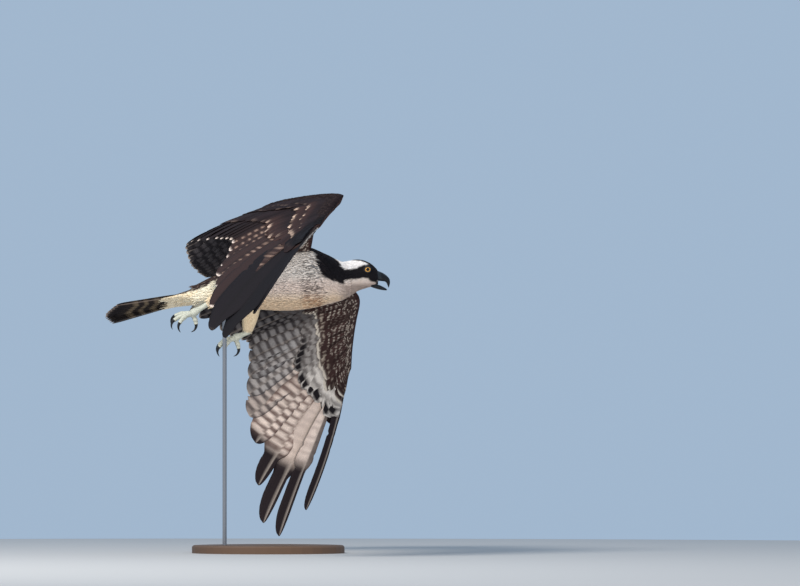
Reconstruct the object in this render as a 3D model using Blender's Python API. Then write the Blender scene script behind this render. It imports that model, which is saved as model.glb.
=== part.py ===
"""Osprey in banked flight, life size, held by a plain display stand.

Metres, +Z up, the bird heads along +X. The wings are arched: each arm rises from the
shoulder to the wrist and each hand hangs down and back from it.
"""
import math

import bmesh
import bpy
import numpy as np
from mathutils import Matrix, Vector

NAME = "osprey"
GAP = 0.0003

# Attitude of the body and of the head, in degrees
YAW, PITCH, BANK = -4.1, 9.6, 23.8
HEAD_YAW, HEAD_PITCH, HEAD_BANK = -1.0, 0.5, 5.0

# Height of the middle of the shoulders over the floor
SHOULDER_HEIGHT = 0.553

# Trunk stations: ahead of the shoulders, rise, half width, half height
TRUNK = [
    (-0.226, -0.0290, 0.0235, 0.0200),
    (-0.200, -0.0275, 0.0325, 0.0265),
    (-0.163, -0.0260, 0.0430, 0.0340),
    (-0.115, -0.0280, 0.0540, 0.0440),
    (-0.075, -0.0290, 0.0605, 0.0525),
    (-0.035, -0.0295, 0.0625, 0.0570),
    (0.000, -0.0315, 0.0580, 0.0555),
    (0.028, -0.0395, 0.0470, 0.0460),
]

# Head and neck stations, in the head's own frame: ahead, rise, half width, half height
HEAD_AHEAD, HEAD_RISE = 0.0835, -0.0435
HEAD = [
    (-0.0306, -0.0102, 0.0340, 0.0366),
    (-0.0173, -0.0055, 0.0290, 0.0342),
    (-0.0021, 0.0002, 0.0252, 0.0299),
    (0.0131, 0.0012, 0.0222, 0.0258),
    (0.0245, -0.0005, 0.0178, 0.0212),
    (0.0321, -0.0031, 0.0132, 0.0167),
    (0.0372, -0.0052, 0.0085, 0.0118),
]
TRUNK_RINGS, NECK_RINGS, HEAD_RINGS, RING_POINTS = 15, 4, 11, 20
SQUARENESS = 2.2
NECK_STARTS_AT, HEAD_STARTS_AT = 0.016, -0.0200

# Eye, in the head's frame
EYE_AHEAD, EYE_RISE, EYE_OUT, EYE_RADIUS = 0.0160, 0.0093, 0.0148, 0.0085
LID_RADIUS, LID_THICKNESS, LID_OUT = 0.0066, 0.0012, 0.0060

# Bill sections in the head's frame: top ahead, top rise, bottom ahead, bottom rise, half width
BILL_UPPER = [
    (0.0290, 0.0100, 0.0280, -0.0105, 0.0092),
    (0.0335, 0.0090, 0.0325, -0.0108, 0.0086),
    (0.0397, 0.0067, 0.0400, -0.0112, 0.0076),
    (0.0454, 0.0040, 0.0455, -0.0118, 0.0065),
    (0.0530, -0.0015, 0.0500, -0.0129, 0.0049),
    (0.0578, -0.0075, 0.0524, -0.0155, 0.0034),
    (0.0588, -0.0140, 0.0536, -0.0185, 0.0022),
    (0.0578, -0.0195, 0.0548, -0.0215, 0.0012),
    (0.0562, -0.0243, 0.0558, -0.0244, 0.0003),
]
BILL_LOWER = [
    (0.0230, -0.0140, 0.0190, -0.0205, 0.0088),
    (0.0285, -0.0150, 0.0255, -0.0235, 0.0082),
    (0.0350, -0.0175, 0.0335, -0.0262, 0.0070),
    (0.0416, -0.0202, 0.0408, -0.0280, 0.0056),
    (0.0480, -0.0236, 0.0478, -0.0290, 0.0038),
    (0.0530, -0.0268, 0.0530, -0.0293, 0.0016),
]
NOSTRIL_AHEAD, NOSTRIL_RISE, NOSTRIL_LENGTH, NOSTRIL_WIDTH = 0.0405, 0.0000, 0.0034, 0.0011
# Side view of the open mouth: ahead, rise
MOUTH = [(0.0080, -0.0121), (0.0230, -0.0118), (0.0700, -0.0100), (0.0700, -0.0330), (0.0230, -0.0136),
         (0.0080, -0.0128)]

# Wing joints in the bird's frame: ahead, out from the midline, rise
SHOULDER = (0.000, 0.036, 0.008)
ELBOW = {"left": (-0.082, 0.150, 0.040), "right": (-0.068, 0.150, 0.040)}
WRIST = {"left": (0.0575, 0.255, 0.0155), "right": (0.0950, 0.255, 0.0070)}
# The rest of the wing is given from the wrist
HAND_BONES = [(0.80, -0.0320, 0.0430, -0.0500), (1.00, -0.0470, 0.0925, -0.0950)]
HAND_EDGE = [(0.70, -0.0125, 0.0210, -0.0250), (0.80, -0.0225, 0.0415, -0.0450), (0.90, -0.0330, 0.0690, -0.0680),
             (1.00, -0.0410, 0.0915, -0.0920)]
WRIST_INSET = (-0.010, -0.004, -0.002)
ARM_FRONT = {"left": (0.034, 0.030, -0.004), "right": (0.002, 0.034, 0.012)}
ARM_HOLLOW = {"left": (-0.013, 0.000, 0.010), "right": (-0.016, 0.000, 0.006)}

# Places along the wing, from the body at 0 to the digit end at 1
ELBOW_AT, WRIST_AT = 0.24, 0.60
# Feather tips along the wing: place, then ahead, out and rise from the wrist
TIPS = [
    (0.00, -0.296, -0.205, -0.028),
    (0.12, -0.306, -0.172, -0.027),
    (0.24, -0.316, -0.138, -0.022),
    (0.38, -0.312, -0.085, -0.004),
    (0.50, -0.250, -0.022, -0.034),
    (0.62, -0.222, -0.004, -0.056),
    (0.70, -0.232, 0.028, -0.100),
    (0.79, -0.246, 0.084, -0.158),
    (0.835, -0.246, 0.122, -0.200),
    (0.88, -0.256, 0.180, -0.263),
    (0.925, -0.258, 0.216, -0.325),
    (0.965, -0.235, 0.232, -0.355),
    (1.00, -0.174, 0.224, -0.310),
]
SECONDARY_PLACES = [0.055 + 0.0575 * index for index in range(10)]
ARM_COVERT_PLACES = [0.080 + 0.117 * index for index in range(5)]
HAND_COVERT_PLACES = [0.640, 0.730, 0.820, 0.900, 0.970]
PRIMARY_PLACES = [0.620, 0.660, 0.700, 0.745, 0.790, 0.835, 0.880, 0.925, 0.965, 1.000]
NODE_BORDER = 0.600

# Camber of the feathers, and how far their shafts bow outboard, as shares of their length
CAMBER = 0.045
BOWS = [(0.00, 0.0), (0.62, 0.0), (0.88, -0.010), (0.925, -0.015), (0.965, -0.003), (1.00, 0.056)]

# Rows of a flight feather: share of its length, share of its full width
REMEX_ROWS = [(0.05, 0.35), (0.38, 0.95), (0.74, 1.00), (0.92, 0.76), (1.00, 0.14)]
COVERT_ROWS = [(0.16, 0.60), (0.38, 1.00), (0.51, 0.30)]
COVERT_RISE = 0.0031
LEAD_SHARE, TRAIL_SHARE, LEAD_MOST, TRAIL_MOST = 0.62, 1.05, 0.020, 0.038
# Feathers with narrow outer ends, by place: the share where that starts, broad and narrow half widths
FINGERS = {
    0.880: (0.78, 0.020, 0.036, 0.0090, 0.0240),
    0.925: (0.70, 0.018, 0.034, 0.0060, 0.0250),
    0.965: (0.60, 0.021, 0.030, 0.0050, 0.0200),
    1.000: (0.36, 0.005, 0.020, 0.0035, 0.0150),
}
SHINGLE = 0.0014
VANE_THICKNESS = 0.0008

TAIL_FEATHERS = 12
TAIL_ROOT = (-0.215, -0.0295)
TAIL_LENGTH, TAIL_DROP = 0.188, 3.7
TAIL_TURN, TAIL_ROLL = 1.5, 0.0
# Flesh of the tail: back from its root, half width, half height
TAIL_CORE = [(-0.012, 0.018, 0.0150), (0.012, 0.022, 0.0130), (0.040, 0.022, 0.0070), (0.065, 0.020, 0.0020)]
TAIL_ROWS = [(0.02, 0.30), (0.30, 0.85), (0.60, 1.00), (0.85, 0.95), (0.96, 0.65), (1.00, 0.12)]
TAIL_HALF_ROOT, TAIL_HALF_END = 0.012, 0.038
TAIL_OUTER_WEB, TAIL_INNER_WEB = 0.0060, 0.0120

# Legs, from the middle of the shoulders: hip, middle of the thigh, heel, foot
LEGS = {
    "right": ((-0.136, -0.020, -0.050), (-0.170, -0.031, -0.0655), (-0.2015, -0.034, -0.0810),
              (-0.2300, -0.034, -0.0985)),
    "left": ((-0.116, 0.016, -0.062), (-0.119, 0.026, -0.098), (-0.1254, 0.027, -0.1340),
             (-0.1500, 0.026, -0.1450)),
}
THIGH_RADII = (0.0200, 0.0150, 0.0075)
TARSUS_RADIUS, TOE_RADIUS, CLAW_LENGTH = 0.0050, 0.0046, 0.021

# Stand
ROD_AHEAD, ROD_ASIDE, ROD_RADIUS = -0.168, 0.000, 0.004
BASE_AHEAD, BASE_ASIDE = -0.085, -0.010
BASE_LENGTH, BASE_WIDTH, BASE_THICKNESS = 0.290, 0.250, 0.015


def unit(vector):
    """The vector at length one."""
    return vector / np.linalg.norm(vector)


def attitude(yaw, pitch, bank):
    """Rotation whose columns are forward, left and up."""
    turn = Matrix.Rotation(math.radians(yaw), 3, "Z") @ Matrix.Rotation(math.radians(-pitch), 3, "Y")
    return np.array(turn @ Matrix.Rotation(math.radians(-bank), 3, "X"))


BIRD = attitude(YAW, PITCH, BANK)
SKULL = attitude(HEAD_YAW, HEAD_PITCH, HEAD_BANK)
CENTRE = np.array((0.0, 0.0, SHOULDER_HEIGHT))
SKULL_CENTRE = CENTRE + BIRD @ np.array((HEAD_AHEAD, 0.0, HEAD_RISE))


def bird(ahead, left, rise):
    """A point given in the bird's frame."""
    return CENTRE + BIRD @ np.array((ahead, left, rise))


def skull(ahead, left, rise):
    """A point given in the head's frame."""
    return SKULL_CENTRE + SKULL @ np.array((ahead, left, rise))


def keyed(keys, place):
    """Smooth value at a place of a table whose rows start with their place."""
    table = np.array(keys, dtype=float)
    spots, values = table[:, 0], table[:, 1:]
    place = min(max(place, spots[0]), spots[-1])
    index = min(int(np.searchsorted(spots, place, side="right")) - 1, len(spots) - 2)
    slopes = np.gradient(values, spots, axis=0)
    span = spots[index + 1] - spots[index]
    u = (place - spots[index]) / span
    h00, h10 = 2 * u ** 3 - 3 * u ** 2 + 1, u ** 3 - 2 * u ** 2 + u
    h01, h11 = -2 * u ** 3 + 3 * u ** 2, u ** 3 - u ** 2
    return (h00 * values[index] + h10 * span * slopes[index] + h01 * values[index + 1]
            + h11 * span * slopes[index + 1])


def material(name, colour, roughness, metallic=0.0):
    """A Principled material."""
    made = bpy.data.materials.new(name)
    made.use_nodes = True
    shader = made.node_tree.nodes["Principled BSDF"]
    shader.inputs["Base Color"].default_value = (*colour, 1.0)
    shader.inputs["Roughness"].default_value = roughness
    shader.inputs["Metallic"].default_value = metallic
    made.diffuse_color = (*colour, 1.0)
    return made


def solid(name, points, faces, origin=None):
    """A mesh object with its origin at the given point, outside faces facing out."""
    origin = np.zeros(3) if origin is None else np.array(origin)
    mesh = bpy.data.meshes.new(name)
    mesh.from_pydata([tuple(np.array(point) - origin) for point in points], [], faces)
    shape = bmesh.new()
    shape.from_mesh(mesh)
    bmesh.ops.recalc_face_normals(shape, faces=shape.faces)
    shape.to_mesh(mesh)
    shape.free()
    made = bpy.data.objects.new(name, mesh)
    made.location = Vector(origin)
    bpy.data.collections[NAME].objects.link(made)
    return made


def loft(name, rings, origin=None):
    """A closed solid through rings of equal counts, with flat ends."""
    count = len(rings[0])
    points = [point for ring in rings for point in ring]
    faces = []
    for row in range(len(rings) - 1):
        for step in range(count):
            a, b = row * count + step, row * count + (step + 1) % count
            faces.append((a, b, b + count))
            faces.append((a, b + count, a + count))
    faces.append(tuple(range(count)))
    faces.append(tuple(len(points) - count + step for step in range(count)))
    return solid(name, points, faces, origin)


def slab(name, upper, lower, origin=None):
    """A closed solid between two grids of points, split into triangles alike on both."""
    rows, columns = len(upper), len(upper[0])
    points = [point for grid in (upper, lower) for row in grid for point in row]
    below = rows * columns
    faces = []
    for row in range(rows - 1):
        for column in range(columns - 1):
            a = row * columns + column
            b, c, d = a + 1, a + columns + 1, a + columns
            for start in (0, below):
                faces += [(a + start, b + start, c + start), (a + start, c + start, d + start)]
    rim = [column for column in range(columns)]
    rim += [row * columns + columns - 1 for row in range(1, rows)]
    rim += [(rows - 1) * columns + column for column in range(columns - 2, -1, -1)]
    rim += [row * columns for row in range(rows - 2, 0, -1)]
    for step, near in enumerate(rim):
        far = rim[(step + 1) % len(rim)]
        faces += [(near, far, far + below), (near, far + below, near + below)]
    return solid(name, points, faces, origin)


def oval(centre, side, top, half_width, half_height, count=RING_POINTS, power=SQUARENESS):
    """A ring of points on a squarish oval."""
    ring = []
    for step in range(count):
        angle = 2 * math.pi * step / count
        across, up = math.cos(angle), math.sin(angle)
        ring.append(centre + side * half_width * math.copysign(abs(across) ** (2 / power), across)
                    + top * half_height * math.copysign(abs(up) ** (2 / power), up))
    return ring


def applied(target):
    """The object with its modifiers made part of its mesh."""
    graph = bpy.context.evaluated_depsgraph_get()
    mesh = bpy.data.meshes.new_from_object(target.evaluated_get(graph))
    target.modifiers.clear()
    target.data = mesh
    return target


def largest(target):
    """The object with only its largest closed surface left."""
    shape = bmesh.new()
    shape.from_mesh(target.data)
    left = set(shape.faces)
    pieces = []
    while left:
        piece, front = set(), [left.pop()]
        while front:
            face = front.pop()
            piece.add(face)
            for edge in face.edges:
                for near in edge.link_faces:
                    if near in left:
                        left.discard(near)
                        front.append(near)
        pieces.append(piece)
    keep = max(pieces, key=lambda piece: sum(face.calc_area() for face in piece))
    drop = [face for face in shape.faces if face not in keep]
    bmesh.ops.delete(shape, geom=drop, context="FACES")
    loose = [vert for vert in shape.verts if not vert.link_faces]
    bmesh.ops.delete(shape, geom=loose, context="VERTS")
    shape.to_mesh(target.data)
    shape.free()
    return target


def combine(target, others, operation, solver="EXACT"):
    """Join other solids to the target, or cut them from it, and remove them."""
    if not others:
        return target
    group = bpy.data.collections.new("pieces")
    bpy.context.scene.collection.children.link(group)
    for other in others:
        for owner in list(other.users_collection):
            owner.objects.unlink(other)
        group.objects.link(other)
    change = target.modifiers.new("combine", "BOOLEAN")
    change.operation = operation
    change.solver = solver
    change.operand_type = "COLLECTION"
    change.collection = group
    bpy.context.view_layer.update()
    applied(target)
    for other in others:
        bpy.data.objects.remove(other)
    bpy.data.collections.remove(group)
    return largest(target)


def finished(target, look):
    """The object with its material, shaded smooth with crisp edges."""
    target.data.materials.clear()
    target.data.materials.append(look)
    target.data.shade_smooth()
    target.data.set_sharp_from_angle(angle=math.radians(40))
    return target


# Trunk, neck and head

def body_stations():
    """Centre, side, top, half width and half height along the whole body."""
    stations = [np.concatenate((bird(ahead, 0, rise), BIRD[:, 1], BIRD[:, 2], (wide, high)))
                for ahead, rise, wide, high in TRUNK]
    stations += [np.concatenate((skull(ahead, 0, rise), SKULL[:, 1], SKULL[:, 2], (wide, high)))
                 for ahead, rise, wide, high in HEAD]
    rows, travelled = [], 0.0
    for index, station in enumerate(stations):
        if index:
            travelled += np.linalg.norm(station[:3] - stations[index - 1][:3])
        rows.append(np.concatenate(((travelled,), station)))
    return rows


STATIONS = body_stations()


def body_ring(place, grow=0.0, count=RING_POINTS):
    """A ring of the body at a place along it."""
    values = keyed(STATIONS, place)
    return oval(values[0:3], unit(values[3:6]), unit(values[6:9]), values[9] + grow, values[10] + grow, count)


def place_of(index, key, value, table):
    """The place along the body of a value in its trunk or head table."""
    rows = [row[0] for row in table]
    spot = np.interp(value, rows, range(len(rows)))
    lower = int(spot)
    upper = min(lower + 1, len(rows) - 1)
    start = STATIONS[index + lower][key]
    return start + (STATIONS[index + upper][key] - start) * (spot - lower)


NECK_AT = place_of(0, 0, NECK_STARTS_AT, TRUNK)
SKULL_AT = place_of(len(TRUNK), 0, HEAD_STARTS_AT, HEAD)
BODY_END = STATIONS[-1][0]


def body_length(name, start, end, rings):
    """A length of the body between two places."""
    places = np.linspace(start, end, rings)
    return loft(name, [body_ring(place) for place in places], keyed(STATIONS, start)[0:3])


def whole_body(grow):
    """The whole body, grown, to cut what grows from it."""
    places = np.concatenate((np.linspace(0.0, NECK_AT - GAP / 2, TRUNK_RINGS),
                             np.linspace(NECK_AT + GAP / 2, SKULL_AT - GAP / 2, NECK_RINGS),
                             np.linspace(SKULL_AT + GAP / 2, BODY_END, HEAD_RINGS)))
    rings = [body_ring(place, grow) for place in places]
    ahead = unit(keyed(STATIONS, BODY_END)[0:3] - keyed(STATIONS, BODY_END - 0.004)[0:3])
    rings.append([point + ahead * grow for point in rings[-1]])
    rings.insert(0, [point - BIRD[:, 0] * grow for point in rings[0]])
    return loft("body_cutter", rings)


def mouth_cutter():
    """The open wedge of the mouth with the line behind it."""
    half = 0.030
    points = [skull(ahead, side * half, rise) for side in (-1, 1) for ahead, rise in MOUTH]
    count = len(MOUTH)
    faces = [tuple(range(count)), tuple(range(count, 2 * count))]
    faces += [(step, (step + 1) % count, (step + 1) % count + count, step + count) for step in range(count)]
    return solid("mouth_cutter", points, faces)


def ball(name, centre, radius, around=16, rows=10, origin=None):
    """A closed ball."""
    bpy.ops.mesh.primitive_uv_sphere_add(segments=around, ring_count=rows, radius=radius,
                                         location=tuple(centre))
    made = bpy.context.object
    made.name = name
    for owner in list(made.users_collection):
        owner.objects.unlink(made)
    bpy.data.collections[NAME].objects.link(made)
    return made


def lid_ring(side):
    """The ring of the lids round one eye, standing just proud of the head."""
    centre = skull(EYE_AHEAD, side * (EYE_OUT + LID_OUT), EYE_RISE)
    bpy.ops.mesh.primitive_torus_add(major_segments=16, minor_segments=6, major_radius=LID_RADIUS,
                                     minor_radius=LID_THICKNESS)
    made = bpy.context.object
    outward = Vector(SKULL @ np.array((0.10, side, -0.06)))
    made.rotation_mode = "QUATERNION"
    made.rotation_quaternion = outward.to_track_quat("Z", "Y")
    made.location = Vector(centre)
    for owner in list(made.users_collection):
        owner.objects.unlink(made)
    bpy.data.collections[NAME].objects.link(made)
    return made


def make_head(look):
    """The head with its lids, eye sockets and open mouth."""
    head = body_length("head", SKULL_AT + GAP / 2, BODY_END, HEAD_RINGS)
    combine(head, [lid_ring(side) for side in (-1, 1)], "UNION")
    sockets = [ball("socket", skull(EYE_AHEAD, side * EYE_OUT, EYE_RISE), EYE_RADIUS + GAP) for side in (-1, 1)]
    combine(head, sockets, "DIFFERENCE")
    combine(head, [mouth_cutter()], "DIFFERENCE")
    return finished(head, look)


def make_bill(name, sections, look, nostrils=False):
    """One half of the bill, cut to meet the head."""
    rings = []
    for top_ahead, top_rise, low_ahead, low_rise, wide in sections:
        top, low = skull(top_ahead, 0, top_rise), skull(low_ahead, 0, low_rise)
        high = np.linalg.norm(top - low) / 2
        rings.append(oval((top + low) / 2, SKULL[:, 1], unit(top - low), wide, high, 12, 2.1))
    bill = loft(name, rings, skull(sections[0][0], 0, sections[0][1]))
    combine(bill, [whole_body(GAP * 1.4)], "DIFFERENCE")
    if nostrils:
        cutters = []
        for side in (-1, 1):
            hole = ball("nostril", (0, 0, 0), 1.0, 10, 6)
            hole.scale = (NOSTRIL_LENGTH / 2, 0.0022, NOSTRIL_WIDTH / 2)
            hole.rotation_euler = (0, math.radians(50), 0)
            hole.location = Vector(skull(NOSTRIL_AHEAD, side * 0.0078, NOSTRIL_RISE))
            cutters.append(hole)
        bpy.context.view_layer.update()
        combine(bill, cutters, "DIFFERENCE")
    return finished(bill, look)


def make_eye(side, look):
    """One eyeball in its socket."""
    name = "eye_left" if side > 0 else "eye_right"
    return finished(ball(name, skull(EYE_AHEAD, side * EYE_OUT, EYE_RISE), EYE_RADIUS), look)


# Wings

class Wing:
    """The surface of one wing: a place along it, and a share of the way to the feather tips."""

    def __init__(self, side):
        self.sign = 1 if side == "left" else -1
        self.side = side
        wrist = np.array(WRIST[side])
        front = np.array(ARM_FRONT[side])
        hollow = (front + wrist) / 2 + np.array(ARM_HOLLOW[side])
        self.bones = [(0.0, *SHOULDER), (ELBOW_AT, *ELBOW[side]), (WRIST_AT, *(wrist + WRIST_INSET))]
        self.bones += [(row[0], *(wrist + np.array(row[1:]))) for row in HAND_BONES]
        self.edges = [(0.0, *front), (WRIST_AT / 2, *hollow), (WRIST_AT, *wrist)]
        self.edges += [(row[0], *(wrist + np.array(row[1:]))) for row in HAND_EDGE]
        self.tips = [(row[0], *(wrist + np.array(row[1:]))) for row in TIPS]

    def local(self, place, share):
        """A point of the surface in the wing's own frame, before its camber."""
        return keyed(self.bones, place) * (1 - share) + keyed(self.tips, place) * share

    def frame(self, place, share):
        """Outboard and dorsal directions, the spacing per unit of place and the feather's length."""
        step = 0.004
        near, far = max(place - step, 0.0), min(place + step, 1.0)
        along = (self.local(far, share) - self.local(near, share)) / (far - near)
        shaft = self.local(place, 1.0) - self.local(place, 0.0)
        reach = np.linalg.norm(shaft)
        shaft = shaft / reach
        outboard = along - shaft * (along @ shaft)
        spacing = np.linalg.norm(outboard)
        outboard = outboard / spacing
        return outboard, np.cross(outboard, shaft), spacing, reach

    def point(self, place, share, aside=0.0, above=0.0):
        """A point of the cambered surface, moved outboard and dorsally, in the wing's frame."""
        outboard, dorsal, _, reach = self.frame(place, share)
        bow = 4 * share * (1 - share) * reach
        return (self.local(place, share) + dorsal * (CAMBER * bow + above)
                + outboard * (keyed(BOWS, place)[0] * bow + aside))

    def world(self, point):
        """The point in the model's frame."""
        return bird(point[0], self.sign * point[1], point[2])


THICKNESS = [(0.0, 0.0125), (0.24, 0.0115), (0.45, 0.0095), (0.60, 0.0085), (0.80, 0.0065), (1.0, 0.0045)]
CORE_SHARES = (0.10, 0.19, 0.28)
CORE_THICKNESS = (0.70, 0.40, 0.15)
CORE_LEAST = 0.0015


def wing_core(wing, name, places):
    """The fleshy front of the wing, out to where its feathers come free."""
    upper, lower = [], []
    for place in places:
        edge, bone = keyed(wing.edges, place), wing.point(place, 0.0)
        thick = keyed(THICKNESS, place)[0]
        dorsal = wing.frame(place, 0.0)[1]
        middle = (edge + bone) / 2
        top = [edge + dorsal * 0.0016, middle + dorsal * (0.0016 + thick) * 0.55, bone + dorsal * thick]
        low = [edge - dorsal * 0.0016, middle - dorsal * (0.0016 + thick) * 0.45, bone - dorsal * thick * 0.8]
        for share, high in zip(CORE_SHARES, CORE_THICKNESS):
            top.append(wing.point(place, share, above=max(thick * high, CORE_LEAST)))
            low.append(wing.point(place, share, above=-max(thick * high * 0.8, CORE_LEAST)))
        upper.append([wing.world(point) for point in top])
        lower.append([wing.world(point) for point in low])
    return slab(name, upper, lower, wing.world(wing.point(places[0], 0.0)))


def half_widths(wing, places, index, share):
    """Leading and trailing half widths of a flight feather at a share of its length."""
    place = places[index]
    spacing = wing.frame(place, share)[2]
    ahead = places[index + 1] - place if index + 1 < len(places) else place - places[index - 1]
    behind = place - places[index - 1] if index else places[1] - place
    lead, trail = spacing * ahead * LEAD_SHARE, spacing * behind * TRAIL_SHARE
    if place < NODE_BORDER:
        lead = min(lead, spacing * (NODE_BORDER - place) - 0.0006)
    else:
        trail = min(trail, spacing * (place - NODE_BORDER) - 0.0006)
    finger = FINGERS.get(place) if places is PRIMARY_PLACES else None
    if finger and share > finger[0]:
        return finger[3], finger[4]
    if finger:
        return min(lead, finger[1]), min(trail, finger[2])
    return min(lead, LEAD_MOST), min(trail, TRAIL_MOST)


def remex_rows(place):
    """Rows of one flight feather, with a step where a narrow outer end starts."""
    rows = list(REMEX_ROWS)
    if place in FINGERS:
        start = FINGERS[place][0]
        rows = [row for row in rows if abs(row[0] - start) > 0.08] + [(start, 1.0), (start + 0.06, 1.0)]
    return sorted(rows)


def vane(wing, places, index, rows, rise=0.0):
    """One overlapping feather, its leading edge raised over the next one's trailing edge."""
    upper, lower = [], []
    for share, width in rows:
        lead, trail = half_widths(wing, places, index, share)
        tilt = SHINGLE / max(lead + trail, 0.004) * 1.6
        sides = [(lead * width, lead * width * tilt), (-trail * width, -trail * width * tilt)]
        upper.append([wing.world(wing.point(places[index], share, aside, rise + high + VANE_THICKNESS / 2))
                      for aside, high in sides])
        lower.append([wing.world(wing.point(places[index], share, aside, rise + high - VANE_THICKNESS / 2))
                      for aside, high in sides])
    return slab("vane", upper, lower)


def make_wing(side, look):
    """The arm and the hand of one wing, each with its flight feathers and their coverts."""
    wing = Wing(side)
    made = []
    for part, start, end, count, places, coverts in (
            ("arm", 0.0, NODE_BORDER - 0.0015, 12, SECONDARY_PLACES, ARM_COVERT_PLACES),
            ("hand", NODE_BORDER + 0.0015, 1.0, 9, PRIMARY_PLACES, HAND_COVERT_PLACES)):
        core = wing_core(wing, "wing_%s_%s" % (side, part), np.linspace(start, end, count))
        feathers = [vane(wing, places, index, remex_rows(place)) for index, place in enumerate(places)]
        for rise in (COVERT_RISE, -COVERT_RISE):
            feathers += [vane(wing, coverts, index, COVERT_ROWS, rise) for index in range(len(coverts))]
        combine(core, feathers, "UNION", "MANIFOLD")
        if part == "arm":
            combine(core, [whole_body(GAP * 1.6)], "DIFFERENCE", "MANIFOLD")
        made.append(finished(core, look))
    return made


# Tail

def make_tail(look):
    """The closed fan of the tail, its feathers joined at their roots."""
    frame = BIRD @ np.array(attitude(TAIL_TURN, TAIL_DROP, TAIL_ROLL))
    root = bird(TAIL_ROOT[0], 0, TAIL_ROOT[1])
    rings = []
    for back, wide, high in TAIL_CORE:
        rings.append(oval(root - frame[:, 0] * back, frame[:, 1], frame[:, 2], wide, high, 12, 2.0))
    tail = loft("tail", rings, root)
    feathers = []
    for index in range(TAIL_FEATHERS):
        spot = (2 * index + 1 - TAIL_FEATHERS) / (TAIL_FEATHERS - 1)
        length = TAIL_LENGTH * (1 - 0.05 * spot * spot)
        upper, lower = [], []
        for share, width in TAIL_ROWS:
            half = TAIL_HALF_ROOT + (TAIL_HALF_END - TAIL_HALF_ROOT) * share
            gap = 2 * half / (TAIL_FEATHERS - 1)
            middle = spot * half
            outer, inner = TAIL_OUTER_WEB * width, -TAIL_INNER_WEB * width
            if abs(spot) < 1.5 / (TAIL_FEATHERS - 1):
                inner = -abs(middle) + GAP
            side = 1 if spot > 0 else -1
            top, low = [], []
            for web in (outer, inner):
                across = middle + side * web
                high = SHINGLE * web / gap
                point = root - frame[:, 0] * (0.004 + length * share) + frame[:, 1] * across
                top.append(point + frame[:, 2] * (high + VANE_THICKNESS / 2))
                low.append(point + frame[:, 2] * (high - VANE_THICKNESS / 2))
            upper.append(top)
            lower.append(low)
        feathers.append(slab("rectrix", upper, lower))
    combine(tail, feathers, "UNION")
    combine(tail, [whole_body(GAP * 1.6)], "DIFFERENCE")
    return finished(tail, look)


# Legs

def limb(name, points, radii, count=10, side=None):
    """A round limb through points that bends across its side direction, with its radii."""
    points = [np.array(point) for point in points]
    if side is None:
        side = unit(np.cross(points[-1] - points[0], np.array((0.0, 0.0, 1.0))))
    rings = []
    for index, point in enumerate(points):
        before, after = points[max(index - 1, 0)], points[min(index + 1, len(points) - 1)]
        along = unit(after - before)
        across = unit(side - along * (side @ along))
        rings.append(oval(point, across, np.cross(across, along), radii[index], radii[index], count, 2.0))
    return loft(name, rings, points[0])


def leg_points(side):
    """Hip, thigh, heel and foot of one leg in the model's frame."""
    return [CENTRE + np.array(point) for point in LEGS[side]]


def toe_path(foot, heading, spread, droop, length, curl, steps=5):
    """Points of a toe that leaves the foot and curls down."""
    points, angle = [foot], droop
    here = foot
    turn = math.radians(heading + spread)
    flat = np.array((math.cos(turn), math.sin(turn), 0.0))
    for step in range(steps):
        along = flat * math.cos(math.radians(angle)) - np.array((0, 0, 1.0)) * math.sin(math.radians(angle))
        here = here + along * length / steps
        points.append(here)
        angle += curl / steps
    return points, np.cross(flat, np.array((0.0, 0.0, 1.0)))


TOES = {
    "right": ((178.0, -16.0, -8.0, 0.034, 36.0), (180.0, 6.0, 4.0, 0.036, 40.0), (182.0, 26.0, 14.0, 0.032, 50.0),
              (20.0, 0.0, 50.0, 0.022, 40.0)),
    "left": ((200.0, -26.0, 4.0, 0.033, 50.0), (198.0, 2.0, 8.0, 0.036, 52.0), (196.0, 28.0, 14.0, 0.032, 54.0),
             (20.0, 0.0, 50.0, 0.022, 40.0)),
}


def make_leg(side, thigh_look, foot_look, claw_look):
    """Thigh, foot with its toes, and claws of one leg."""
    hip, middle, heel, foot = leg_points(side)
    path = [hip, (hip + middle) / 2, middle, middle * 0.4 + heel * 0.6, heel]
    radii = np.array((THIGH_RADII[0], 0.0185, THIGH_RADII[1], 0.0115, THIGH_RADII[2]))
    thigh = limb("thigh_" + side, path, radii, 14)
    down = unit(foot - heel)
    beyond = heel + unit(heel - path[3]) * GAP
    cutter = limb("thigh_cutter", path[:-1] + [beyond], radii + GAP * 1.5, 14)
    start = heel - down * 0.002
    tarsus = limb("foot_" + side, [start, start * 0.5 + foot * 0.5, foot, foot + down * 0.004],
                  (TARSUS_RADIUS, TARSUS_RADIUS * 0.95, TARSUS_RADIUS * 1.35, TARSUS_RADIUS), 10)
    toes, claws = [], []
    for index, (heading, spread, droop, length, curl) in enumerate(TOES[side]):
        path, across = toe_path(foot, heading, spread, droop, length, curl)
        toes.append(limb("toe", path, (TOE_RADIUS, TOE_RADIUS * 1.05, TOE_RADIUS * 0.92, TOE_RADIUS,
                                       TOE_RADIUS * 0.85, TOE_RADIUS * 0.8), 8, across))
        along = unit(path[-1] - path[-2])
        inward = -1 if curl < 0 else 1
        claws.append(make_claw("claw_%s_%d" % (side, index + 1), path[-1], along, across, inward, claw_look))
    combine(tarsus, toes, "UNION")
    combine(tarsus, [cutter], "DIFFERENCE")
    combine(thigh, [whole_body(GAP * 1.6)], "DIFFERENCE")
    return finished(thigh, thigh_look), finished(tarsus, foot_look), claws


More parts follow.
